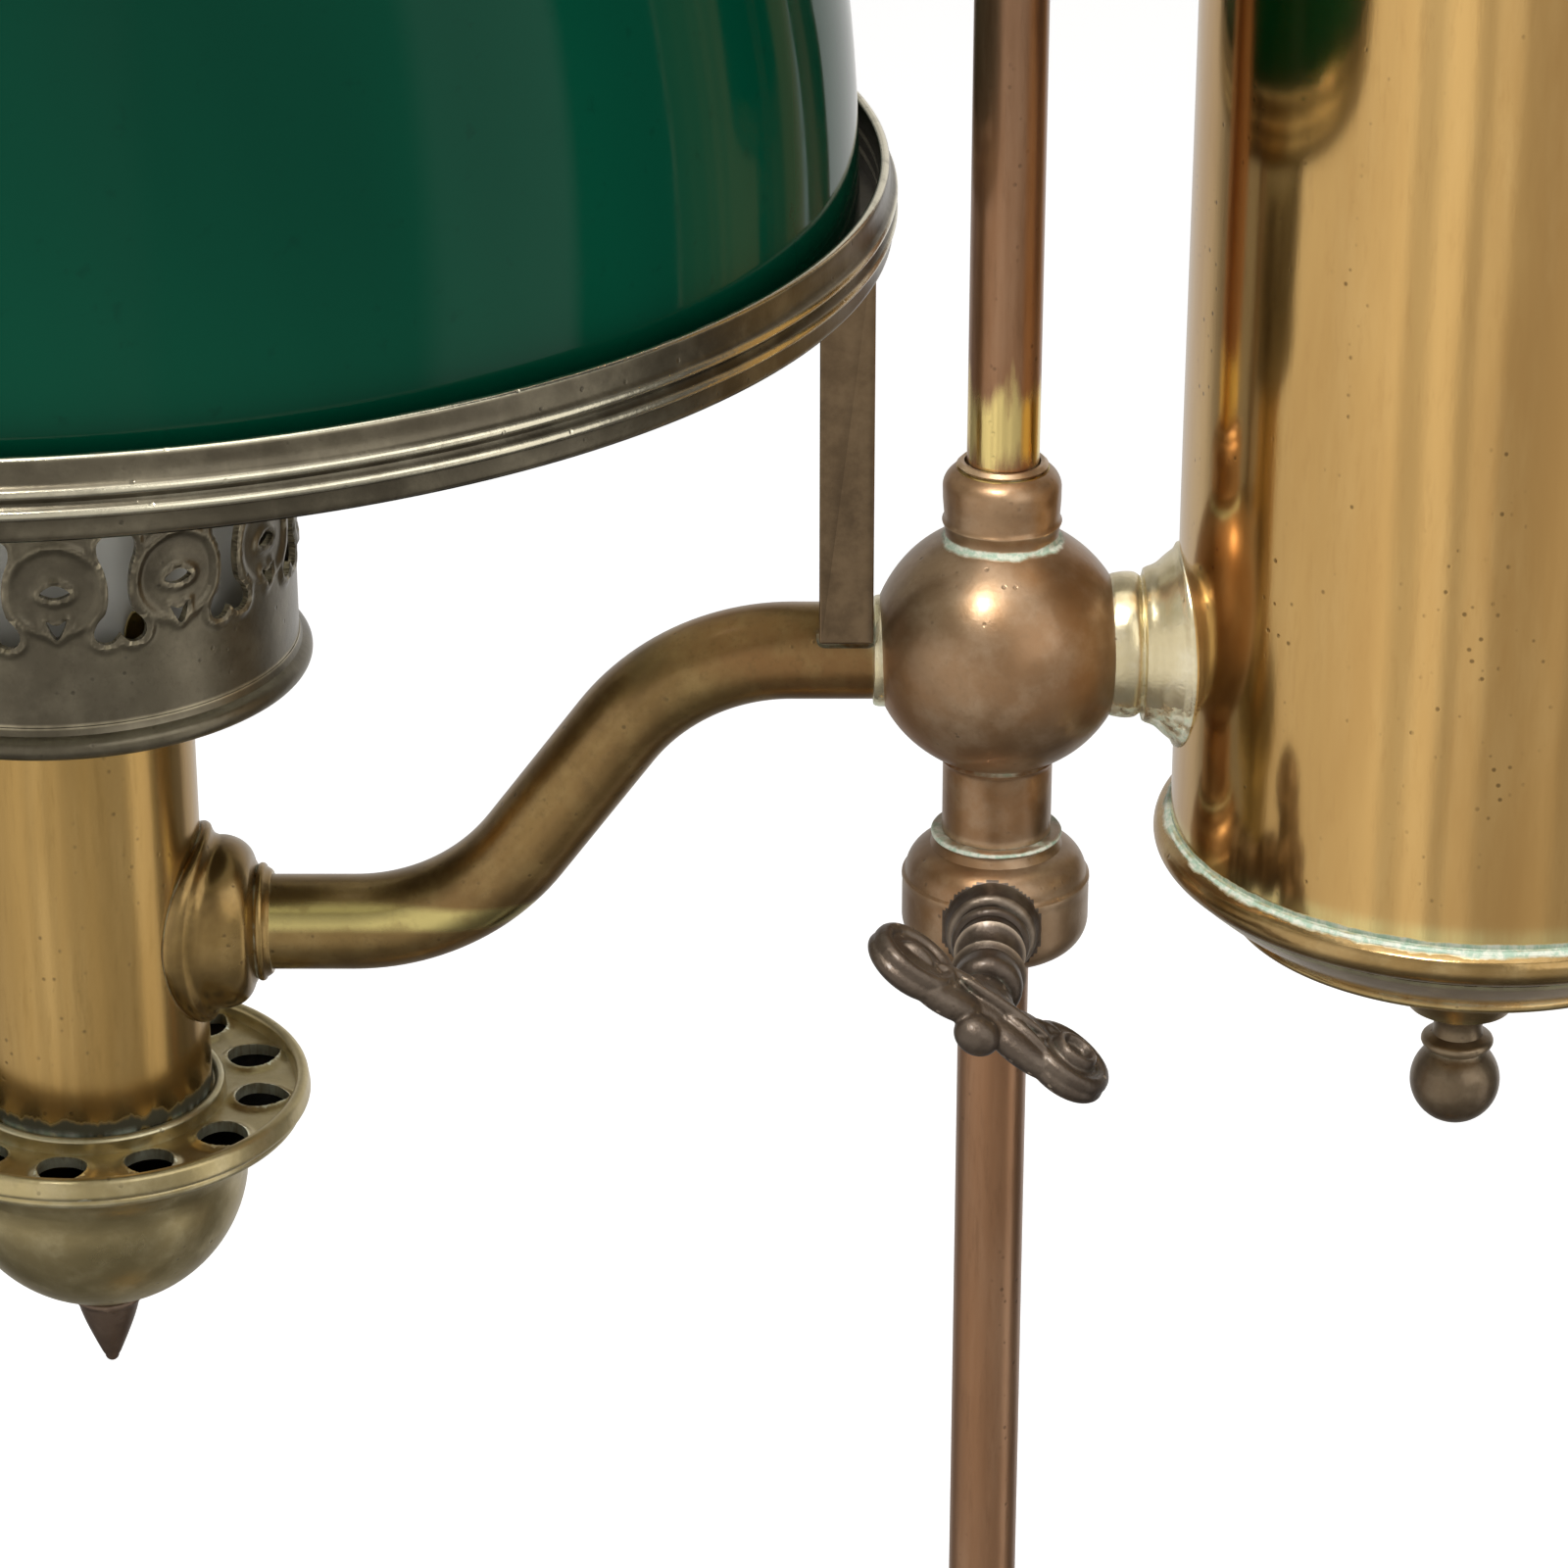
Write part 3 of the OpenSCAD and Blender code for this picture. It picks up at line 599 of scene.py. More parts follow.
RIM_BRASS = metal("rim_brass", *RIM, rough=0.22, salts=0.8, relief=0.06, patina=0.05, seams=[(-30.2, 0.6)])
OPAL = speckled("opal_glass", (30, 4, 0.55), (0.3, 0.7), rgb(226, 226, 216), rgb(240, 240, 234),
                (0, 1, 0.1, 0.18), 0.3)
SOOT = speckled("soot", (340, 6, 0.7), (0.4, 0.65), rgb(16, 14, 12), rgb(46, 40, 32),
                (0.3, 0.7, 0.75, 0.95), 0.3)


def line_inside(piece, centre, material):
    """Gives a turned piece's inner faces another material."""
    piece.data.materials.append(material)
    for face in piece.data.polygons:
        away = face.center - centre
        if away.x * face.normal.x + away.y * face.normal.y < -1e-7:
            face.material_index = 1


def stands_for(piece, *nodes, material=None):
    """The piece takes the place of CAD nodes: their body, slot and finish."""
    slot = SLOT_OF[nodes[0]]
    piece.data.materials.clear()
    piece.data.materials.append(material or MATERIAL[slot])
    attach(piece, BODY_OF[nodes[0]])
    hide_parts(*nodes)
    return piece


def turned(node, how, outline, *place, material=None, **options):
    """Turned piece that stands for a node and is named after it and how it was made."""
    return stands_for(turn(f"{node}_{how}", outline, *place, **options), node, material=material)


# ---- CAD nodes whose shape is right keep it and get their finish ----

for node, cad_object in frame["nodes"].items():
    cad_object.data.materials.clear()
    cad_object.data.materials.append(MATERIAL[SLOT_OF[node]])

# ---- stand ----


def felt_edge(angle, r, z):
    """Slightly uneven cut edge."""
    return r + 0.25 * math.sin(41 * angle) + 0.18 * math.sin(97 * angle + z), z


FELT_R = radius("base_felt") - 0.5
pad = softened([(0, 0), (FELT_R, 0, 0.8), (FELT_R, 3, 0.9), (0, 3)], closed=False)
stands_for(turn("felt_pad", pad, FLOOR, steps=288, relief=felt_edge), "base_felt")

SKIRT = ([(BASE_R - 1, 1), (BASE_R, 2.5)] + arc(BASE_R - 4, 7.5, 5, -40, 80, 10)
         + arc(BASE_R - 5.2, 14.9, 1.3, -40, 60, 5)
         + arc(BASE_R - 7, 48.5, 32, -90, -158, 16)
         + arc(BASE_R - 38.4, 38.2, 1.4, -40, 90, 5) + arc(BASE_R - 41.2, 41.7, 2.1, -30, 90, 7)
         + arc(BASE_R - 107, -44, 110, 54.2, 89, 22) + [(ROD_R + 0.3, 66)])
SKIRT_INSIDE = ([(BASE_R - 2.5, 1), (BASE_R - 2.5, 8), (BASE_R - 7, 13.5), (BASE_R - 8.5, 15)]
                + arc(BASE_R - 7, 48.5, 33.6, -90, -158, 8) + [(BASE_R - 44.5, 43)]
                + arc(BASE_R - 107, -44, 108.2, 53.5, 89, 8) + [(ROD_R + 0.3, 64.4)])
turned("base_shell", "spun", SKIRT + SKIRT_INSIDE[::-1], FLOOR, steps=256, wobble=0.06)

SOCKET = ([(ROD_R, 66), (31, 66)] + arc(30.8, 67.6, 1.6, -60, 90, 6) + [(28.4, 70)]
          + arc(34, 93, 20, -125, -178, 14) + [(14.6, 94)] + arc(14.5, 97, 2.8, -80, 80, 10)
          + arc(12.9, 101.4, 0.8, -30, 60, 4) + [(12.2, 105), (11.2, 116), (10.6, 126.5)]
          + arc(10.5, 130.5, 2.4, -80, 80, 10) + arc(8.6, 134, 0.9, -20, 80, 4) + [(7.2, 136), (ROD_R, 136)])
turned("base_socket", "cast", SOCKET, FLOOR, steps=160, wobble=0.03)

ROD_TOP = high_of("rod", FLOOR)
ROD_FOOT = low_of("rod", FLOOR)
rod_outline = dense([(0, ROD_FOOT), (ROD_R, ROD_FOOT), (ROD_R, ROD_TOP), (0, ROD_TOP)], 6, closed=False)
turned("rod", "drawn", rod_outline, FLOOR, steps=96, wobble=0.012)

FINIAL_TOP = ([(0, 0), (8.2, 0)] + arc(8, 1.5, 1.1, -70, 80, 6) + [(7.4, 3.2), (5.4, 4.2)]
              + arc(9.3, 8, 4.4, -130, -215, 10) + arc(6.4, 12.2, 1, -60, 60, 6)
              + arc(0, 24, 12.2, -56, 74, 24) + [(2.7, 36.4), (1.4, 39), (0, 40)])
turned("rod_finial", "turned", FINIAL_TOP, Vector((0, 0, ROD_TOP * MM)), steps=128)

# ---- hub ----

CORE_R = 7.3
NECK_R = 8.8
COLLAR_R = 9.2
COLLAR_TOP = 31.5
NECK_LOW = -32.0


def hammered(angle, r, z):
    """Faint unevenness of a hand-finished casting."""
    return r + 0.05 * math.sin(3 * angle + z / 6) + 0.035 * math.sin(7 * angle - z / 4), z


bore_end = math.degrees(math.acos(CORE_R / BALL_R))
turned("hub_ball", "cast", arc(0, 0, BALL_R - 0.05, -bore_end, bore_end, 60), steps=192, relief=hammered)

collar = ([(CORE_R, 16.5), (COLLAR_R + 1.2, 17.2)] + arc(COLLAR_R + 1.6, 19.4, 1.9, -125, -185, 5)
          + arc(COLLAR_R - 0.1, 21.4, 0.35, -60, 60, 4) + [(COLLAR_R - 0.1, 22.4), (COLLAR_R + 0.1, 25)]
          + arc(COLLAR_R - 3.4, 26.9, 3.55, 5, 74, 10)
          + [(7.2, COLLAR_TOP - 0.7), (6.6, COLLAR_TOP - 0.15), (ROD_R + 0.3, COLLAR_TOP - 0.2),
             (ROD_R + 0.3, COLLAR_TOP - 1.2), (CORE_R, COLLAR_TOP - 1.3)])
turned("hub_collar", "turned", collar, steps=144, relief=hammered)

neck = ([(CORE_R, NECK_LOW + 0.1), (NECK_R, NECK_LOW + 0.1), (NECK_R, -22)]
        + arc(NECK_R + 1.5, -20.2, 1.5, 180, 125, 4) + [(CORE_R, -17.6)])
turned("hub_neck", "turned", dense(neck, 1.5), steps=144, wobble=0.03)

nut = ([(ROD_R + 0.25, NECK_LOW), (9.2, NECK_LOW)] + arc(10.1, NECK_LOW - 0.5, 0.5, 100, -60, 6)
       + [(10.0, NECK_LOW - 1.2)] + arc(9.2, -39.9, 5.55, 74, 10, 12)
       + [(14.75, -39.4), (15.2, -39.8), (15.25, -40.3), (15.1, -40.9), (15.15, -42)]
       + arc(9.7, -47, 5.45, 2, -70, 12)
       + [(9.2, -53.1), (8.2, -54), (ROD_R + 0.25, -54)])
boss = [(0, 11), (7.9, 11), (7.9, 13.2), (7.5, 14.6), (7.25, 15.5), (7.15, 16.2), (6.6, 16.8), (5.6, 17),
        (0, 17)]
nut_vertices, nut_faces = turned_mesh(nut, 160, 0.05)
boss_vertices, boss_faces = turned_mesh(boss, 96)
nut_points = np.concatenate([placed(nut_vertices, HUB), placed(boss_vertices, KEY, "-Y", KEY_YAW)])
nut_all_faces = nut_faces + [[len(nut_vertices) + i for i in face] for face in boss_faces]
clamp_nut = stands_for(new_object("clamp_nut_turned", nut_points, nut_all_faces), "clamp_nut")
clamp_nut.data.materials.append(MATERIAL["key_bronze"])
key_line = Vector((-math.sin(KEY_YAW), math.cos(KEY_YAW), 0))
for face in clamp_nut.data.polygons:
    away = face.center - KEY
    if away.dot(key_line) < -9 * MM and away.cross(key_line).length < 8.1 * MM:
        face.material_index = 1

# ---- thumbscrew ----

SCREW_R = 3.25
SCREW_LOW = ROD_R + 3.5
screw = ([(0, SCREW_LOW), (SCREW_R, SCREW_LOW), (SCREW_R, 17.3), (5.2, 17.3)]
         + arc(5.2, 18.5, 1.1, -80, 80, 7) + [(5.3, 20)] + arc(3.2, 20.6, 2.2, -10, 62, 6)
         + arc(8.3, 26, 4.5, -125, -240, 12) + [(5.3, 31), (5.6, 33.4)] + arc(3.4, 34, 2.2, 10, 88, 8)
         + [(0, 36.2)])
turned("key_screw", "turned", screw, KEY, "-Y", steps=112, yaw=KEY_YAW)

KEY_TILT = math.radians(34.2)
WING_Y = -44.0


def wing_place(x, y, z, spin):
    """Place in the wing's own plane, y away from the middle of the wing, spun in that plane."""
    return Matrix.Translation((x, WING_Y + y, z)) @ Matrix.Rotation(math.radians(spin), 4, "Z")


def lobe(x, y, z, a, b, c, spin=0.0):
    """Ellipsoid, as a matrix without a section."""
    return wing_place(x, y, z, spin) @ Matrix.Diagonal((a, b, c, 1)), None


def scroll(x, y, z, a, b, thick, spin):
    """Flattened ring, as a matrix and the outline of its section."""
    section = [(1 + thick * q[0], thick * q[1] * 6) for q in arc(0, 0, 1, 0, 330, 11)]
    return wing_place(x, y, z, spin) @ Matrix.Diagonal((a, b, 1.3, 1)), section


# A butterfly wing: two scrolled lobes, a ridged bridge and a neck
WING = [
    lobe(-14.2, 0.4, 0, 7.6, 7.4, 2.9, -10),
    scroll(-14.2, 0.6, 1.4, 6.0, 5.6, 0.24, -10),
    lobe(-14.4, 0.2, 2.2, 3.2, 1.3, 1.8, -16),
    lobe(14.6, 0.2, 0, 7.6, 8.0, 3.1, 12),
    scroll(14.6, 0.4, 1.4, 6.2, 6.4, 0.22, 12),
    scroll(14.8, 0, 2.2, 3.0, 3.0, 0.3, 12),
    lobe(-7.4, 1.6, 0, 5.6, 4.8, 2.9, 16),
    lobe(7.4, 1.6, 0, 5.6, 5.0, 3.1, -16),
    lobe(0, 2.2, 0, 6.4, 6.0, 3.4),
    lobe(0, 6.0, 0, 4.6, 4.6, 3.4),
    lobe(-6.6, -2.6, 0.1, 7.4, 3.2, 2.5, 14),
    lobe(7.0, -2.8, 0.1, 7.8, 3.8, 2.7, -12),
    lobe(-0.4, -4.8, -1.2, 3.8, 3.2, 3.2),
    lobe(1.4, -0.6, 3.4, 8.4, 0.9, 1.1, -5),
    lobe(6.0, -2.8, 2.6, 4.8, 0.8, 1.1, -22),
    lobe(-6.4, 1.8, 2.5, 4.8, 0.9, 1.1, 14),
    lobe(-9.0, -2.2, 2.0, 3.8, 0.9, 1.1, 24),
    lobe(9.4, 3.6, 2.2, 3.8, 0.9, 1.1, 18),
]
wing_turn = Matrix.Rotation(KEY_YAW, 4, "Z") @ Matrix.Rotation(KEY_TILT, 4, "Y")
stands_for(cast("key_wing_cast", WING, 0.24, 3, KEY, wing_turn), "key_wing")

# ---- burner arm and shade strap ----

BEND_R = 35.0
ARM_BEND_X = -33.0
BEND = math.atan2(4, 3)
ARM_END_X = -118.6


def arm_route():
    """Centre line of the arm as (x, z, slope) from the hub to the burner."""
    slope = (ARM_DROP - 2 * BEND_R * (1 - math.cos(BEND))) / math.sin(BEND)
    route = [(x, ARM_Z, 0.0) for x in np.linspace(-19.5, ARM_BEND_X, 12)]
    route += [(ARM_BEND_X - BEND_R * math.sin(a), ARM_Z - BEND_R * (1 - math.cos(a)), a)
              for a in np.linspace(0, BEND, 25)[1:]]
    x, z, _ = route[-1]
    route += [(x - d * math.cos(BEND), z - d * math.sin(BEND), BEND) for d in np.linspace(0, slope, 6)[1:]]
    x, z, _ = route[-1]
    route += [(x - BEND_R * (math.sin(BEND) - math.sin(a)), z - BEND_R * (math.cos(a) - math.cos(BEND)), a)
              for a in np.linspace(BEND, 0, 25)[1:]]
    route += [(x2, ARM_Z - ARM_DROP, 0.0) for x2 in np.linspace(route[-1][0], ARM_END_X, 10)[1:]]
    return route


def swept_arm(name, steps=72):
    """Bent tube, a little flattened in its bends."""
    vertices, faces, rows = [], [], []
    for x, z, slope in arm_route():
        flat = 0.012 * math.sin(min(slope / BEND, 1) * math.pi / 2)
        rows.append(list(range(len(vertices), len(vertices) + steps)))
        for k in range(steps):
            a = 2 * math.pi * k / steps
            across = ARM_R * (1 + flat) * math.cos(a)
            up = ARM_R * (1 - flat) * math.sin(a)
            vertices.append(HUB + Vector((x - up * math.sin(slope), across, z + up * math.cos(slope))) * MM)
    for near, far in zip(rows, rows[1:]):
        faces += between(near, far)
    return new_object(name, vertices, faces + [rows[0], rows[-1]])


STRAP_X = -24.45
STRAP_W = 8.5
STRAP_Y = -7.0
STRAP_T = 2.6
STRAP_LOW = 3.5
STRAP_TOP = 69.5


def upright_slab(name, x0, x1, y0, y1, z0, z1, corner):
    """Bar with rounded lower corners."""
    outline = softened([(x0, z1), (x0, z0, corner), (x1, z0, corner), (x1, z1)], count=6)
    return prisms(name, [(HUB, outline)], lambda origin, q: origin + Vector((q[0], y0, q[1])) * MM,
                  lambda origin, q: origin + Vector((q[0], y1, q[1])) * MM)


arm = swept_arm("arm_tube_bent")
left, right, back = STRAP_X - STRAP_W / 2, STRAP_X + STRAP_W / 2, STRAP_Y + STRAP_T / 2
notch = upright_slab("notch", left - 0.45, right + 0.45, -12, back, STRAP_LOW - 1.2, 14, 1.5)
stands_for(carve(arm, notch), "arm_tube")
strap = upright_slab("shade_strap_bar", left, right, back - STRAP_T, back, STRAP_LOW, STRAP_TOP, 0.5)
stands_for(bevelled(strap, 0.45), "shade_strap", material=STRAP_BRONZE)

ferrule = softened([(ARM_R - 0.3, -20.1), (ARM_R + 0.8, -20.1, 0.4), (ARM_R + 1.1, -19.4, 0.5),
                    (ARM_R + 1.1, -17.8, 0.4), (ARM_R - 0.3, -17.6)])
turned("arm_ferrule", "turned", ferrule, HUB + Vector((0, 0, ARM_Z * MM)), "X", steps=112, wobble=0.05)

# ---- flanges that wrap an upright tube ----


def wrapped(name, outline, origin, tube_x, tube_r, side, wrap_start, wrap_end, squeeze=1.0):
    """Piece turned about X whose foot is bent round an upright tube at tube_x. The outline is (r, height off
    the tube); side is +1 or -1, the way it stands off; the bend fades from wrap_start to wrap_end."""
    outline = [(r, tube_x + side * (tube_r + height)) for r, height in outline]
    vertices, faces = turned_mesh(outline, 160, 0.03)
    bent = []
    for across, up, along in vertices:
        across *= 1 - (1 - squeeze) * min(abs(across) / 16, 1)
        height = (along - tube_x) * side - tube_r
        hold = 1 - min(max((height - wrap_start) / (wrap_end - wrap_start), 0), 1)
        fall = tube_r - math.sqrt(max(tube_r ** 2 - min(abs(across), tube_r * 0.97) ** 2, 0))
        bent.append((across, up, along - side * fall * hold))
    return new_object(name, placed(bent, origin, "X"), faces)


flange = ([(0, -0.5), (16.2, -0.5)] + arc(15.7, 0.9, 1.0, -60, 84, 8) + [(15.2, 2.1), (14.7, 2.4)]
          + arc(9.4, 3.4, 5.0, -4, 78, 16) + [(9.7, 8.7)] + arc(9.0, 9.6, 0.75, -70, 80, 6)
          + [(8.7, 11), (8.4, 11.3), (0, 11.3)])
arm_axis = HUB + Vector((0, 0, (ARM_Z - ARM_DROP) * MM))
burner_x = (BURNER.x - HUB.x) / MM
stands_for(wrapped("burner_flange_cast", flange, arm_axis, burner_x, TUBE_R, 1, 0.3, 7.5, 0.82),
           "burner_flange")

neck_ring = ([(0, -1.5), (16.4, -1.5)] + arc(15.7, -0.1, 0.9, -60, 50, 6)
             + through([(15.4, 1.0), (14.4, 2.2), (13.1, 3.6), (12.5, 5.0)], 4) + [(12.2, 5.5), (11.0, 5.8)]
             + through([(11.0, 6.0), (11.6, 6.9), (11.7, 8.6), (11.4, 10.4)], 4)
             + [(11.1, 11.0), (10.2, 11.4), (0, 11.4)])
tank_x = (TANK.x - HUB.x) / MM
stands_for(wrapped("tank_flange_cast", neck_ring, HUB, tank_x, TANK_R, -1, 0.2, 7, 0.86), "tank_flange")

# ---- burner ----

tube_low = low_of("burner_tube")
tube_outline = dense([(TUBE_R - 0.8, tube_low), (TUBE_R - 0.02, tube_low), (TUBE_R - 0.02, 1),
                      (TUBE_R - 0.8, 1)], 3)
turned("burner_tube", "drawn", tube_outline, BURNER, steps=192, wobble=0.035)

dish = ([(TUBE_R + 0.3, -4.2), (20.9, -4.2), (21.6, -3.5), (35.4, -3.2)] + arc(36.9, -1.4, 1.95, -110, 60, 14)
        + [(37.3, 0.6), (GALLERY_R + 0.2, 1.3), (GALLERY_R + 0.1, 1.8), (GALLERY_R - 0.8, 1.8),
           (GALLERY_R - 0.8, -2.2), (TUBE_R + 1.3, -2.2), (TUBE_R + 1.3, 1.2), (TUBE_R + 0.3, 1.2)])
turned("gallery_dish", "spun", dish, BURNER, steps=192, wobble=0.04)

BAND_LOW = 1.9
BAND_HIGH = 35.0
MOTIFS = 12
PITCH = 2 * math.pi / MOTIFS
ROSETTE_AT = math.radians(6.5)
VASE = through([(0, 16.4), (1.1, 15.2), (2.4, 14.9), (3.7, 15.6), (4.1, 17.0), (3.4, 18.6), (2.2, 20.0),
                (1.7, 22.2), (1.7, 24.6), (2.2, 27.2), (3.0, 29.4), (2.9, 31.4), (1.5, 32.6), (0, 32.9)], 3)
VASE = VASE + [(-s, z) for s, z in reversed(VASE[1:-1])]
EYE = through([(-2.3, 23.8), (-1.1, 24.9), (0, 25.2), (1.1, 24.9), (2.3, 23.8), (1.1, 23.1), (0, 22.9),
               (-1.1, 23.1)], 3, closed=True)
DART = through([(-1.5, 19.4), (0, 18.7), (1.5, 19.4), (0.9, 17.6), (0, 16.4), (-0.9, 17.6)], 3, closed=True)


def distance_to(outline, s, z):
    """Distance from a point to a closed outline."""
    a = np.array(outline)
    b = np.roll(a, -1, 0)
    p = np.array((s, z))
    edge = b - a
    t = np.clip(((p - a) * edge).sum(1) / (edge ** 2).sum(1), 0, 1)
    return np.sqrt((((a + edge * t[:, None]) - p) ** 2).sum(1).min())


def hill(distance, width):
    return math.exp(-(distance / width) ** 2)


relief_cache = {}


def band_relief(angle, r, z):
    """Raised outlines round the openings of the gallery, pressed from the inside."""
    if r < GALLERY_R - 0.4 or z < BAND_LOW + 1 or z > BAND_HIGH - 2.6:
        return r, z
    azimuth = (angle + math.pi / 2 - ROSETTE_AT + PITCH / 2) % PITCH - PITCH / 2
    s = azimuth * GALLERY_R
    key = (round(abs(s), 3), round(z, 3))
    if key not in relief_cache:
        vase_s = PITCH / 2 * GALLERY_R - abs(s)
        lift = 0.5 * hill(distance_to(VASE, vase_s, z) - 0.7, 0.6)
        lift += 0.45 * hill(distance_to(EYE, abs(s), z) - 0.6, 0.55)
        lift += 0.4 * hill(distance_to(DART, abs(s), z) - 0.5, 0.5)
        lift += 0.55 * hill(math.hypot(s, z - 24.3) - 7.1, 0.75)
        relief_cache[key] = min(lift, 0.62)
    return r + relief_cache[key], z


band = ([(GALLERY_R - 0.8, BAND_LOW), (GALLERY_R, BAND_LOW), (GALLERY_R, BAND_HIGH - 1.6)]
        + arc(GALLERY_R - 0.2, BAND_HIGH - 0.9, 0.9, -50, 120, 6) + [(GALLERY_R - 0.8, BAND_HIGH - 1.6)])
band_outer = dense(band[1:3], 0.55, closed=False)
band = [band[0]] + band_outer + band[3:]
gallery = turn("gallery_band_pierced", band, BURNER, steps=MOTIFS * 44, relief=band_relief)


def on_band(depth):
    def place(azimuth, q):
        angle = azimuth + q[0] / GALLERY_R - math.pi / 2
        r = GALLERY_R + depth
        return BURNER + Vector((r * math.cos(angle), r * math.sin(angle), q[1])) * MM
    return place


cuts = []
for k in range(MOTIFS):
    rosette = ROSETTE_AT + k * PITCH
    cuts += [(rosette + PITCH / 2, VASE), (rosette, EYE), (rosette, DART)]
carve(gallery, prisms("gallery_cutter", cuts, on_band(-3), on_band(3)))
stands_for(gallery, "gallery_band")


def clip_springs():
    """Six leaf springs that hold the chimney, each curled outwards at its tip."""
    profile = through([(34.6, -2.0), (32.2, -1.5), (30.9, 1.5), (30.5, 7), (30.45, 12), (31.0, 15.5),
                       (32.4, 17.8)], 6)
    vertices, faces = [], []
    for k in range(6):
        angle = math.radians(60 * k)
        out = Vector((math.cos(angle), math.sin(angle), 0))
        side = Vector((-math.sin(angle), math.cos(angle), 0))
        for depth in (0, 0.55):
            for i, (r, z) in enumerate(profile):
                half = 3.0 - 1.1 * (i / (len(profile) - 1)) ** 3
                for s in (-half, half):
                    vertices.append(BURNER + (out * (r + depth) + side * s + Vector((0, 0, z))) * MM)
        rows = len(profile)
        first = len(vertices) - rows * 4
        for i in range(rows - 1):
            a, b = first + 2 * i, first + 2 * rows + 2 * i
            faces += [[a, a + 1, a + 3, a + 2], [b, b + 2, b + 3, b + 1], [a, a + 2, b + 2, b],
                      [a + 1, b + 1, b + 3, a + 3]]
        end_a, end_b = first + 2 * rows - 2, first + 4 * rows - 2
        faces += [[first, first + 2 * rows, first + 2 * rows + 1, first + 1],
                  [end_a, end_a + 1, end_b + 1, end_b]]
    return new_object("chimney_clip_springs", vertices, faces)


stands_for(clip_springs(), "chimney_clips")


def ribbed(angle, r, z):
    """Woven ribs of the tubular wick."""
    return r + 0.07 * math.sin(64 * angle), z


wick = dense([(15.1, -56), (15.1, 6.6), (14.6, 7), (13.6, 7), (13.2, 6.6), (13.2, -56)], 4)
turned("wick", "woven", wick, BURNER, steps=256, relief=ribbed)

# ---- drip cup ----

PLATE_Z = -80.5
PLATE_LOW = PLATE_Z - 1.2
HOLES = 12
HOLE_RING = 27.5
HOLE_PITCH = 2 * math.pi / HOLES
HOLE_AT = math.radians(0.85 * 360 / HOLES)
TEARDROP = through([(-4.1, 0), (-3.3, 2.7), (-1.2, 4.0), (1.4, 3.6), (3.4, 2.2), (4.9, 0), (3.4, -2.2),
                    (1.4, -3.6), (-1.2, -4.0), (-3.3, -2.7)], 3, closed=True)


def plate_relief(angle, r, z):
    """Lips raised round the air holes of the cover."""
    if r < TUBE_R + 2.5 or r > CUP_R - 2 or abs(z - PLATE_Z) > 0.3:
        return r, z
    turn_by = (angle - HOLE_AT + HOLE_PITCH / 2) % HOLE_PITCH - HOLE_PITCH / 2
    away = distance_to(TEARDROP, r * math.cos(turn_by) - HOLE_RING, r * math.sin(turn_by))
    return r, z + 0.75 * hill(away, 0.85)


plate_top = dense([(CUP_R - 2.6, PLATE_Z), (TUBE_R + 2.2, PLATE_Z)], 0.55, closed=False)
plate = ([(12.1, tube_low - 0.3), (12.1, PLATE_LOW), (CUP_R - 1.2, PLATE_LOW)]
         + arc(CUP_R - 1.05, PLATE_Z - 0.2, 1, -88, 10, 6) + arc(CUP_R - 1.35, -78.9, 1.05, 10, 175, 12)
         + plate_top + arc(TUBE_R + 1.2, -78.7, 0.85, -20, 165, 8) + [(TUBE_R + 0.3, tube_low - 0.3)])
air_plate = turn("air_plate_pierced", plate, BURNER, steps=HOLES * 30, relief=plate_relief)


def on_plate(height):
    def place(angle, q):
        x, y = HOLE_RING + q[0], q[1]
        c, s = math.cos(angle), math.sin(angle)
        return BURNER + Vector((x * c - y * s, x * s + y * c, PLATE_Z + height)) * MM
    return place


carve(air_plate, prisms("hole_cutter", [(HOLE_AT + k * HOLE_PITCH, TEARDROP) for k in range(HOLES)],
                        on_plate(-4), on_plate(4)))
stands_for(air_plate, "air_plate")

BOWL_Z = -92.7
BOWL_R = 24.6
BOWL_LOW = low_of("drip_bowl", BURNER)
BOWL = ([(CUP_R - 1.2, PLATE_LOW)] + arc(CUP_R - 2.2, -82.6, 1, 40, -50, 5)
        + through([(CUP_R - 3.1, -83.9), (29.6, -85.4), (26.4, -88.2), (24.9, -91.2)], 4)
        + arc(0, BOWL_Z, BOWL_R, -3, -62, 22) + [(8, BOWL_LOW), (0, BOWL_LOW)])
BOWL_INSIDE = ([(0, BOWL_LOW + 1.2), (7.6, BOWL_LOW + 1.2)] + arc(0, BOWL_Z, BOWL_R - 1.2, -62, -3, 11)
               + [(25.2, -87.4), (CUP_R - 6.6, -84.6), (CUP_R - 3.6, -82.8), (CUP_R - 2.4, PLATE_LOW)])
bowl = turned("drip_bowl", "spun", BOWL + BOWL_INSIDE, BURNER, steps=176, wobble=0.05)
line_inside(bowl, BURNER, SOOT)

TIP_OUTLINE = ([(0, BOWL_LOW), (6.3, BOWL_LOW)] + arc(6.0, BOWL_LOW - 0.7, 0.6, 60, -70, 5)
               + [(5.7, BOWL_LOW - 1.8)] + arc(5.5, BOWL_LOW - 2.8, 0.65, 70, -60, 5)
               + through([(5.3, BOWL_LOW - 3.8), (4.4, -122.6), (3.0, -126.4), (1.6, -129.8)], 4)
               + arc(0, -130.5, 1.2, 0, -90, 5))
turned("drip_tip", "turned", TIP_OUTLINE, BURNER, steps=96, material=TIP_BRONZE)

# ---- shade and chimney ----

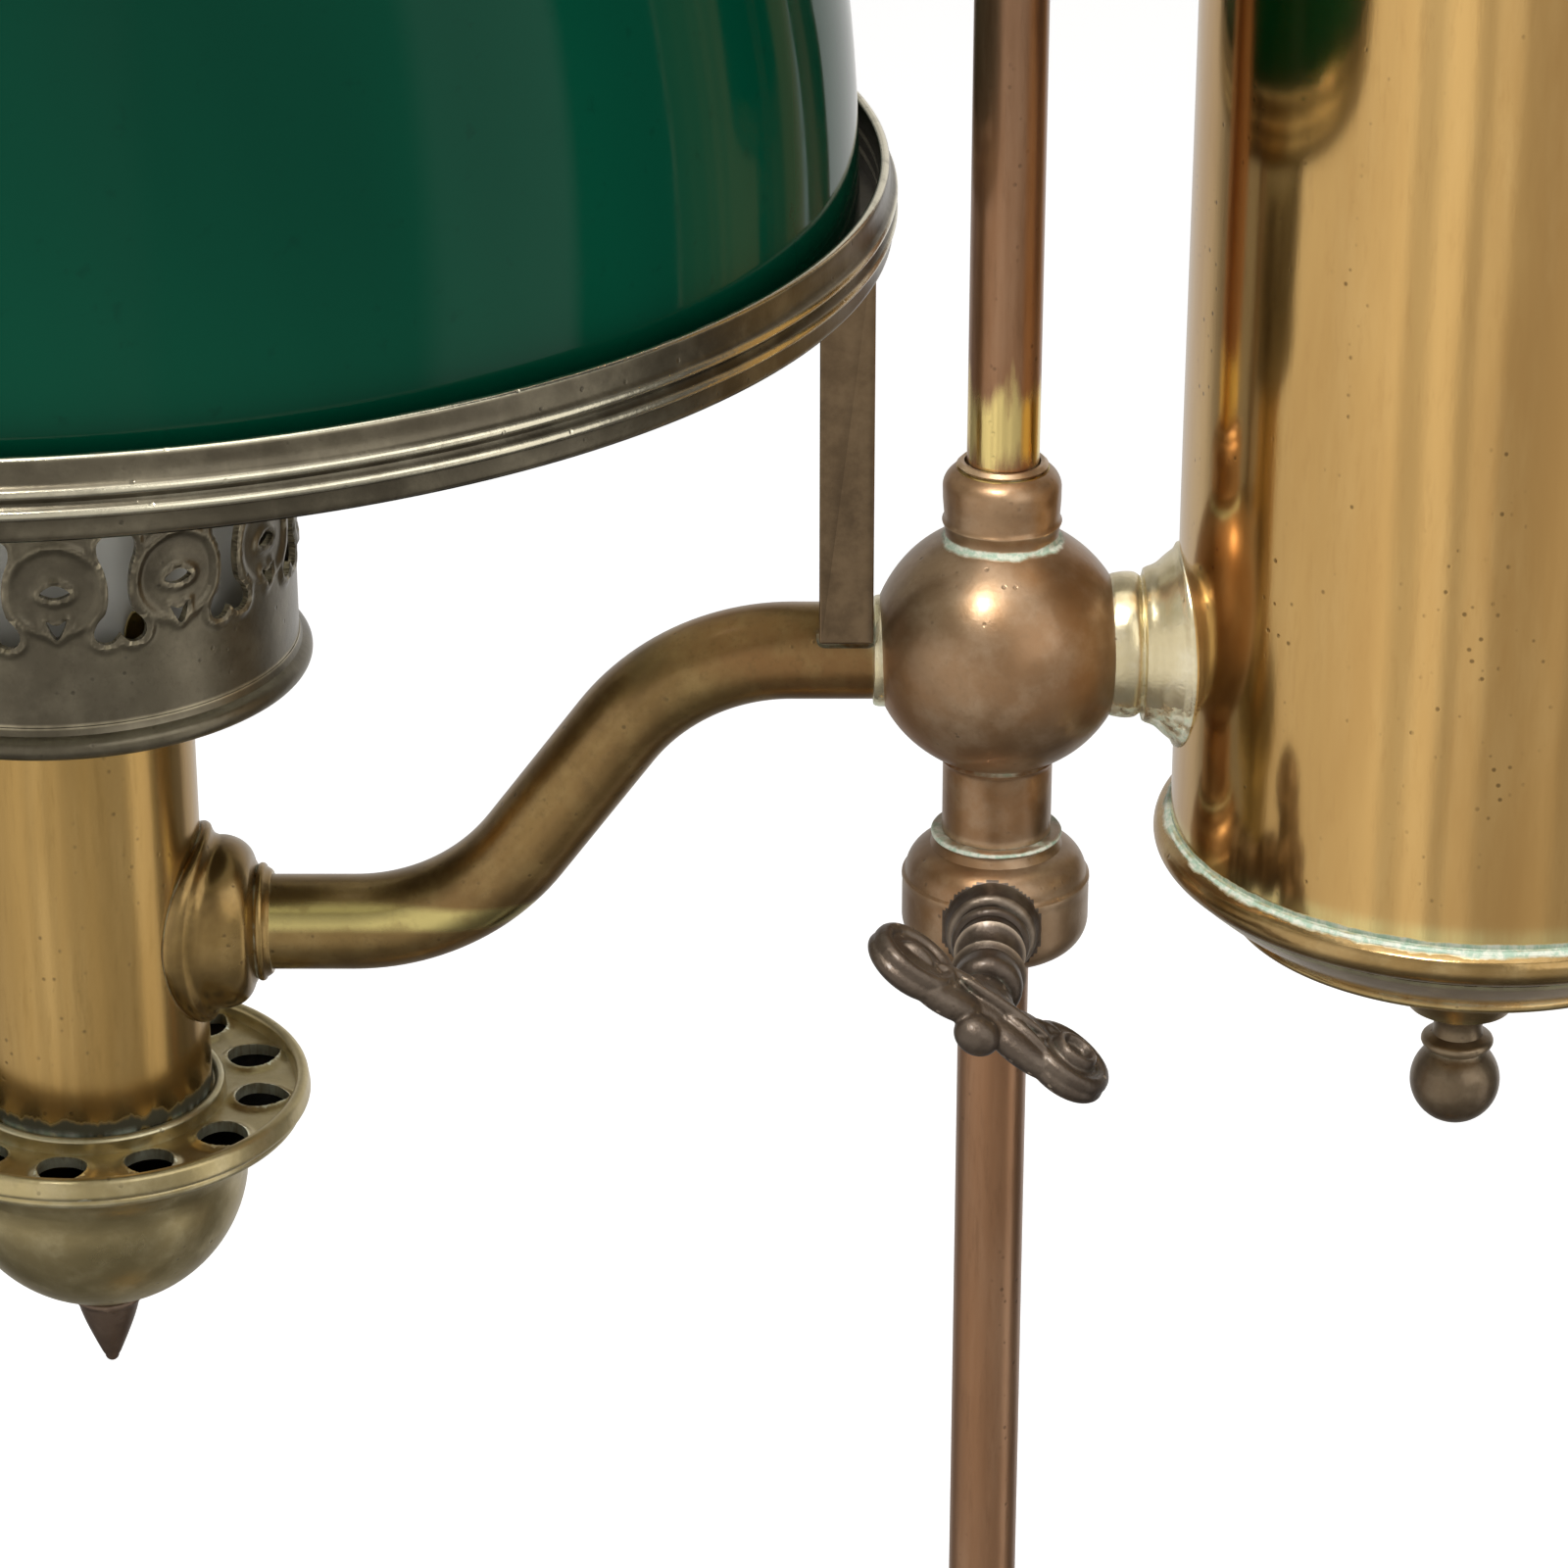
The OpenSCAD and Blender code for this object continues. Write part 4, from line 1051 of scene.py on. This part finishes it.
LEDGE_R = 118.0
ring = ([(LEDGE_R, 69.5), (RING_R - 1.4, 69.5)] + arc(RING_R - 1.9, 70.6, 1.1, -80, 10, 5)
        + [(RING_R - 0.8, 72.2)] + arc(RING_R - 0.95, 73.5, 0.85, -75, 75, 7)
        + [(RING_R - 1.1, 75.0)] + arc(RING_R - 0.95, 76.4, 0.85, -75, 75, 7)
        + [(RING_R - 1.2, 77.8), (RING_R - 1.25, 79.8)] + arc(RING_R - 2.1, 80.4, 0.8, 0, 175, 8)
        + [(RING_R - 2.8, 78), (RING_R - 2.8, 70.9), (LEDGE_R, 70.9)])
turned("shade_ring", "rolled", ring, BURNER, steps=288, wobble=0.1)

SHADE_Z = low_of("shade_glass")
SHADE_RISE = 171.0  # from the shade's foot to the top of its neck
outer = [(0, 0), (-0.6, 21), (-2.4, 40), (-6.4, 62), (-14.4, 86), (-27.4, 109), (-45.4, 129)]
inner = [(0, 0), (-0.6, 21), (-2.5, 40), (-6.8, 61), (-15, 84), (-28, 106), (-45.4, 125.4)]
shade_outside = through([(SHADE_R + r, z) for r, z in outer]
                        + [(60, 145), (46, 152.5), (39.5, 157.5), (37.5, 163), (37, SHADE_RISE)], 6)
shade_inside = through([(SHADE_R - 3 + r, z) for r, z in inner]
                       + [(58.6, 142), (44.2, 149.7), (37, 155.6), (34.6, 162.4), (34, SHADE_RISE)], 6)
shade_loop = shade_outside + arc(35.5, SHADE_RISE, 1.3, 30, 150, 4) + shade_inside[::-1]
shade_loop = [(r, z + SHADE_Z) for r, z in shade_loop]
shade = turn("shade_glass_blown", shade_loop, BURNER, steps=256, wobble=0.08, sharp=60)
stands_for(shade, "shade_glass")
line_inside(shade, BURNER, OPAL)

CHIMNEY_R = radius("chimney_glass")
chimney_outside = through([(CHIMNEY_R, -1.9), (CHIMNEY_R, 20), (CHIMNEY_R, 52), (29.6, 62), (26.5, 67.5),
                           (23, 74), (21.2, 82), (20.7, 110), (20.6, 160), (20.8, 220), (21, 262)], 6)
chimney_loop = chimney_outside + [(r - 1.5, z) for r, z in reversed(chimney_outside)]
turned("chimney_glass", "blown", chimney_loop, BURNER, steps=128)

# ---- tank and font ----

TANK_TOP = high_of("tank_shell")
RIM_Z = -33.0
tank_outline = dense([(TANK_R - 1, RIM_Z + 3), (TANK_R - 0.03, RIM_Z + 3), (TANK_R - 0.03, TANK_TOP),
                      (TANK_R - 1, TANK_TOP)], 4)
tank_wall = turned("tank_shell", "rolled", tank_outline, TANK, steps=256, wobble=0.045)

rim = ([(TANK_R - 1, RIM_Z + 3), (TANK_R + 0.6, RIM_Z + 3.1)] + arc(TANK_R + 0.3, RIM_Z + 2.3, 0.8, 90, 10, 4)
       + arc(TANK_R - 0.2, RIM_Z, 3, 40, -65, 14) + [(TANK_R - 1, RIM_Z - 3)])
turned("tank_rim", "rolled", rim, TANK, steps=224, wobble=0.12, material=RIM_BRASS)

PAN = ([(TANK_R + 0.8, RIM_Z - 3)] + through([(TANK_R - 0.6, -37.4), (44, -40.6), (39.4, -44.0)], 5)
       + arc(38.2, -45.1, 0.9, 50, -60, 5) + [(36.6, -46)] + arc(36, -77.4, 30.6, 92, 148, 18)
       + [(8.6, -63.6), (6, -64.5), (0, -64.5)])
PAN_INSIDE = [(0, -63.3), (8, -62.6)] + arc(36, -77.4, 31.9, 146, 92, 10) + [(38, -43.4), (TANK_R - 2, -36)]
turned("tank_pan", "spun", PAN + PAN_INSIDE, TANK, steps=192, wobble=0.05, material=RIM_BRASS)

BALL_FINIAL = ([(0, 0), (5.4, 0)] + through([(5.3, 0.4), (4.4, 1.6), (4.0, 3.2), (4.2, 4.6)], 4)
               + arc(5.0, 6.0, 0.95, -80, 80, 7) + [(4.7, 7.5)] + arc(0, 13.3, 7.4, -50, 90, 24))


def finial(name, origin, flip, node):
    """Ball finial, hanging or standing."""
    outline = [(r, -z if flip else z) for r, z in BALL_FINIAL]
    return stands_for(turn(name, outline, origin, steps=112), node)


finial("tank_finial_turned", TANK + Vector((0, 0, -64.5 * MM)), True, "tank_finial")

LID_Z = TANK_TOP + 0.1
lid_dome = arc(0, LID_Z - 57.6, 78, 52.5, 86, 24) + [(5.4, LID_Z + 20.6), (0, LID_Z + 20.6)]
lid = ([(TANK_R - 4, LID_Z), (TANK_R + 1.8, LID_Z)] + arc(TANK_R + 1.8, LID_Z + 2, 2, -90, 90, 12)
       + arc(TANK_R - 0.2, LID_Z + 4.9, 1, -60, 80, 5) + lid_dome)
lid_inside = [(r * 0.985, z - 1.2) for r, z in reversed(lid_dome)]
turned("font_lid", "spun", lid + lid_inside, TANK, steps=192, wobble=0.04)
finial("font_knob_turned", TANK + Vector((0, 0, (LID_Z + 20.6) * MM)), False, "font_knob")

# ---- floor, light and camera ----

FLOOR_HALF = 60.0
corners = [(x * FLOOR_HALF, y * FLOOR_HALF, 0) for x, y in ((-1, -1), (1, -1), (1, 1), (-1, 1))]
floor_mesh = bpy.data.meshes.new("floor")
floor_mesh.from_pydata(corners, [], [(0, 1, 2, 3)])
floor = bpy.data.objects.new("floor", floor_mesh)
bpy.context.scene.collection.objects.link(floor)
floor_look = Look("pale_floor")
floor_look.finish(base_color=(0.86, 0.86, 0.85, 1), roughness=0.9, emission_color=(1, 1, 1, 1),
                  emission_strength=0.62)
floor_mesh.materials.append(floor_look.material)
floor.visible_glossy = False

PALE_SKY = (0.97, 0.97, 0.97, 1)
# Light round the lamp by azimuth from the front towards +X, in degrees, and its brightness
ROOM = [(-180, 0.65), (-141, 0.6), (-131, 0.2), (-106, 0.3), (-96, 0.7), (-85, 0.8), (-70, 0.82),
        (-50, 0.96), (-46, 1.08), (-42, 0.74), (-36, 0.74), (-32, 1.05), (-25, 1.05), (-22, 0.62),
        (-18.5, 0.62), (-16, 0.88), (-9, 0.86), (-6, 0.6), (7, 0.62), (20, 0.74), (24, 0.55), (58, 0.44),
        (62, 1.2), (82, 1.25), (84, 0.1), (114, 0.08), (117, 0.24), (121, 0.24), (124, 0.1), (128, 0.1),
        (131, 0.8), (152, 0.85)]
# Share of the way from straight down to straight up, and brightness
HEIGHTS = [(0.0, 0.12), (0.12, 0.26), (0.21, 0.66), (0.27, 0.86), (0.33, 1.0), (0.46, 0.95), (0.62, 1.0),
           (0.8, 0.5), (1.0, 0.25)]


def room_light():
    """Pale background for the camera; soft panels between dark gaps for the reflections."""
    world = bpy.data.worlds.new("studio")
    world.use_nodes = True
    world.node_tree.nodes.clear()
    room = Nodes(world.node_tree)
    axes = room.add("SeparateXYZ", {0: room.add("TexCoord").outputs["Generated"]})
    azimuth = room.math("ARCTAN2", axes.outputs[0], room.times(axes.outputs[1], -1.0))
    round_it = room.add("MapRange", {"Value": azimuth, "From Min": -math.pi, "From Max": math.pi}).outputs[0]
    up_it = room.add("MapRange", {"Value": axes.outputs[2], "From Min": -1.0}).outputs[0]
    stripes = room.ramp(round_it, [((angle + 180) / 360, (v, v, v, 1)) for angle, v in ROOM])
    layers = room.ramp(up_it, [(share, (v, v * 0.985, v * 0.96, 1)) for share, v in HEIGHTS])
    light = room.mix(1.0, stripes, layers, blend_type="MULTIPLY")
    colour = room.mix(room.add("LightPath").outputs["Is Camera Ray"], light, PALE_SKY)
    background = room.add("Background", {"Color": colour, "Strength": 1.0})
    room.add("OutputWorld", {"Surface": background.outputs[0]})
    bpy.context.scene.world = world


room_light()


def panel(name, azimuth, elevation, distance, size, power):
    """Soft square light that faces the hub."""
    light = bpy.data.lights.new(name, "AREA")
    light.energy = power
    light.size = size
    lamp = bpy.data.objects.new(name, light)
    a, e = math.radians(azimuth), math.radians(elevation)
    away = Vector((math.sin(a) * math.cos(e), -math.cos(a) * math.cos(e), math.sin(e)))
    lamp.location = HUB + away * distance
    lamp.rotation_euler = away.to_track_quat("Z", "Y").to_euler()
    bpy.context.scene.collection.objects.link(lamp)
    return lamp


key_light = panel("key_light", -26, 57, 2.2, 0.3, 36)
fill_light = panel("fill_light", 40, 30, 3.0, 2.4, 24)
top_light = panel("top_light", 0, 85, 3.2, 2.6, 40)
spared = bpy.data.collections.new("spared_by_the_panels")
for glare in (shade, tank_wall):
    spared.objects.link(glare)
for entry in spared.collection_objects:
    entry.light_linking.link_state = "EXCLUDE"
key_light.light_linking.receiver_collection = spared
fill_light.light_linking.receiver_collection = spared

CAMERA_FROM_HUB = Vector((-34.22, -743.86, 318.2))
CAMERA_PITCH = 24.73
camera_data = bpy.data.cameras.new("camera")
camera_data.sensor_width = 36
camera_data.lens = 117
camera = bpy.data.objects.new("camera", camera_data)
camera.location = HUB + CAMERA_FROM_HUB * MM
camera.rotation_euler = (math.radians(90 - CAMERA_PITCH), 0, 0)
bpy.context.scene.collection.objects.link(camera)
bpy.context.scene.camera = camera
bpy.context.scene.view_settings.view_transform = "Standard"
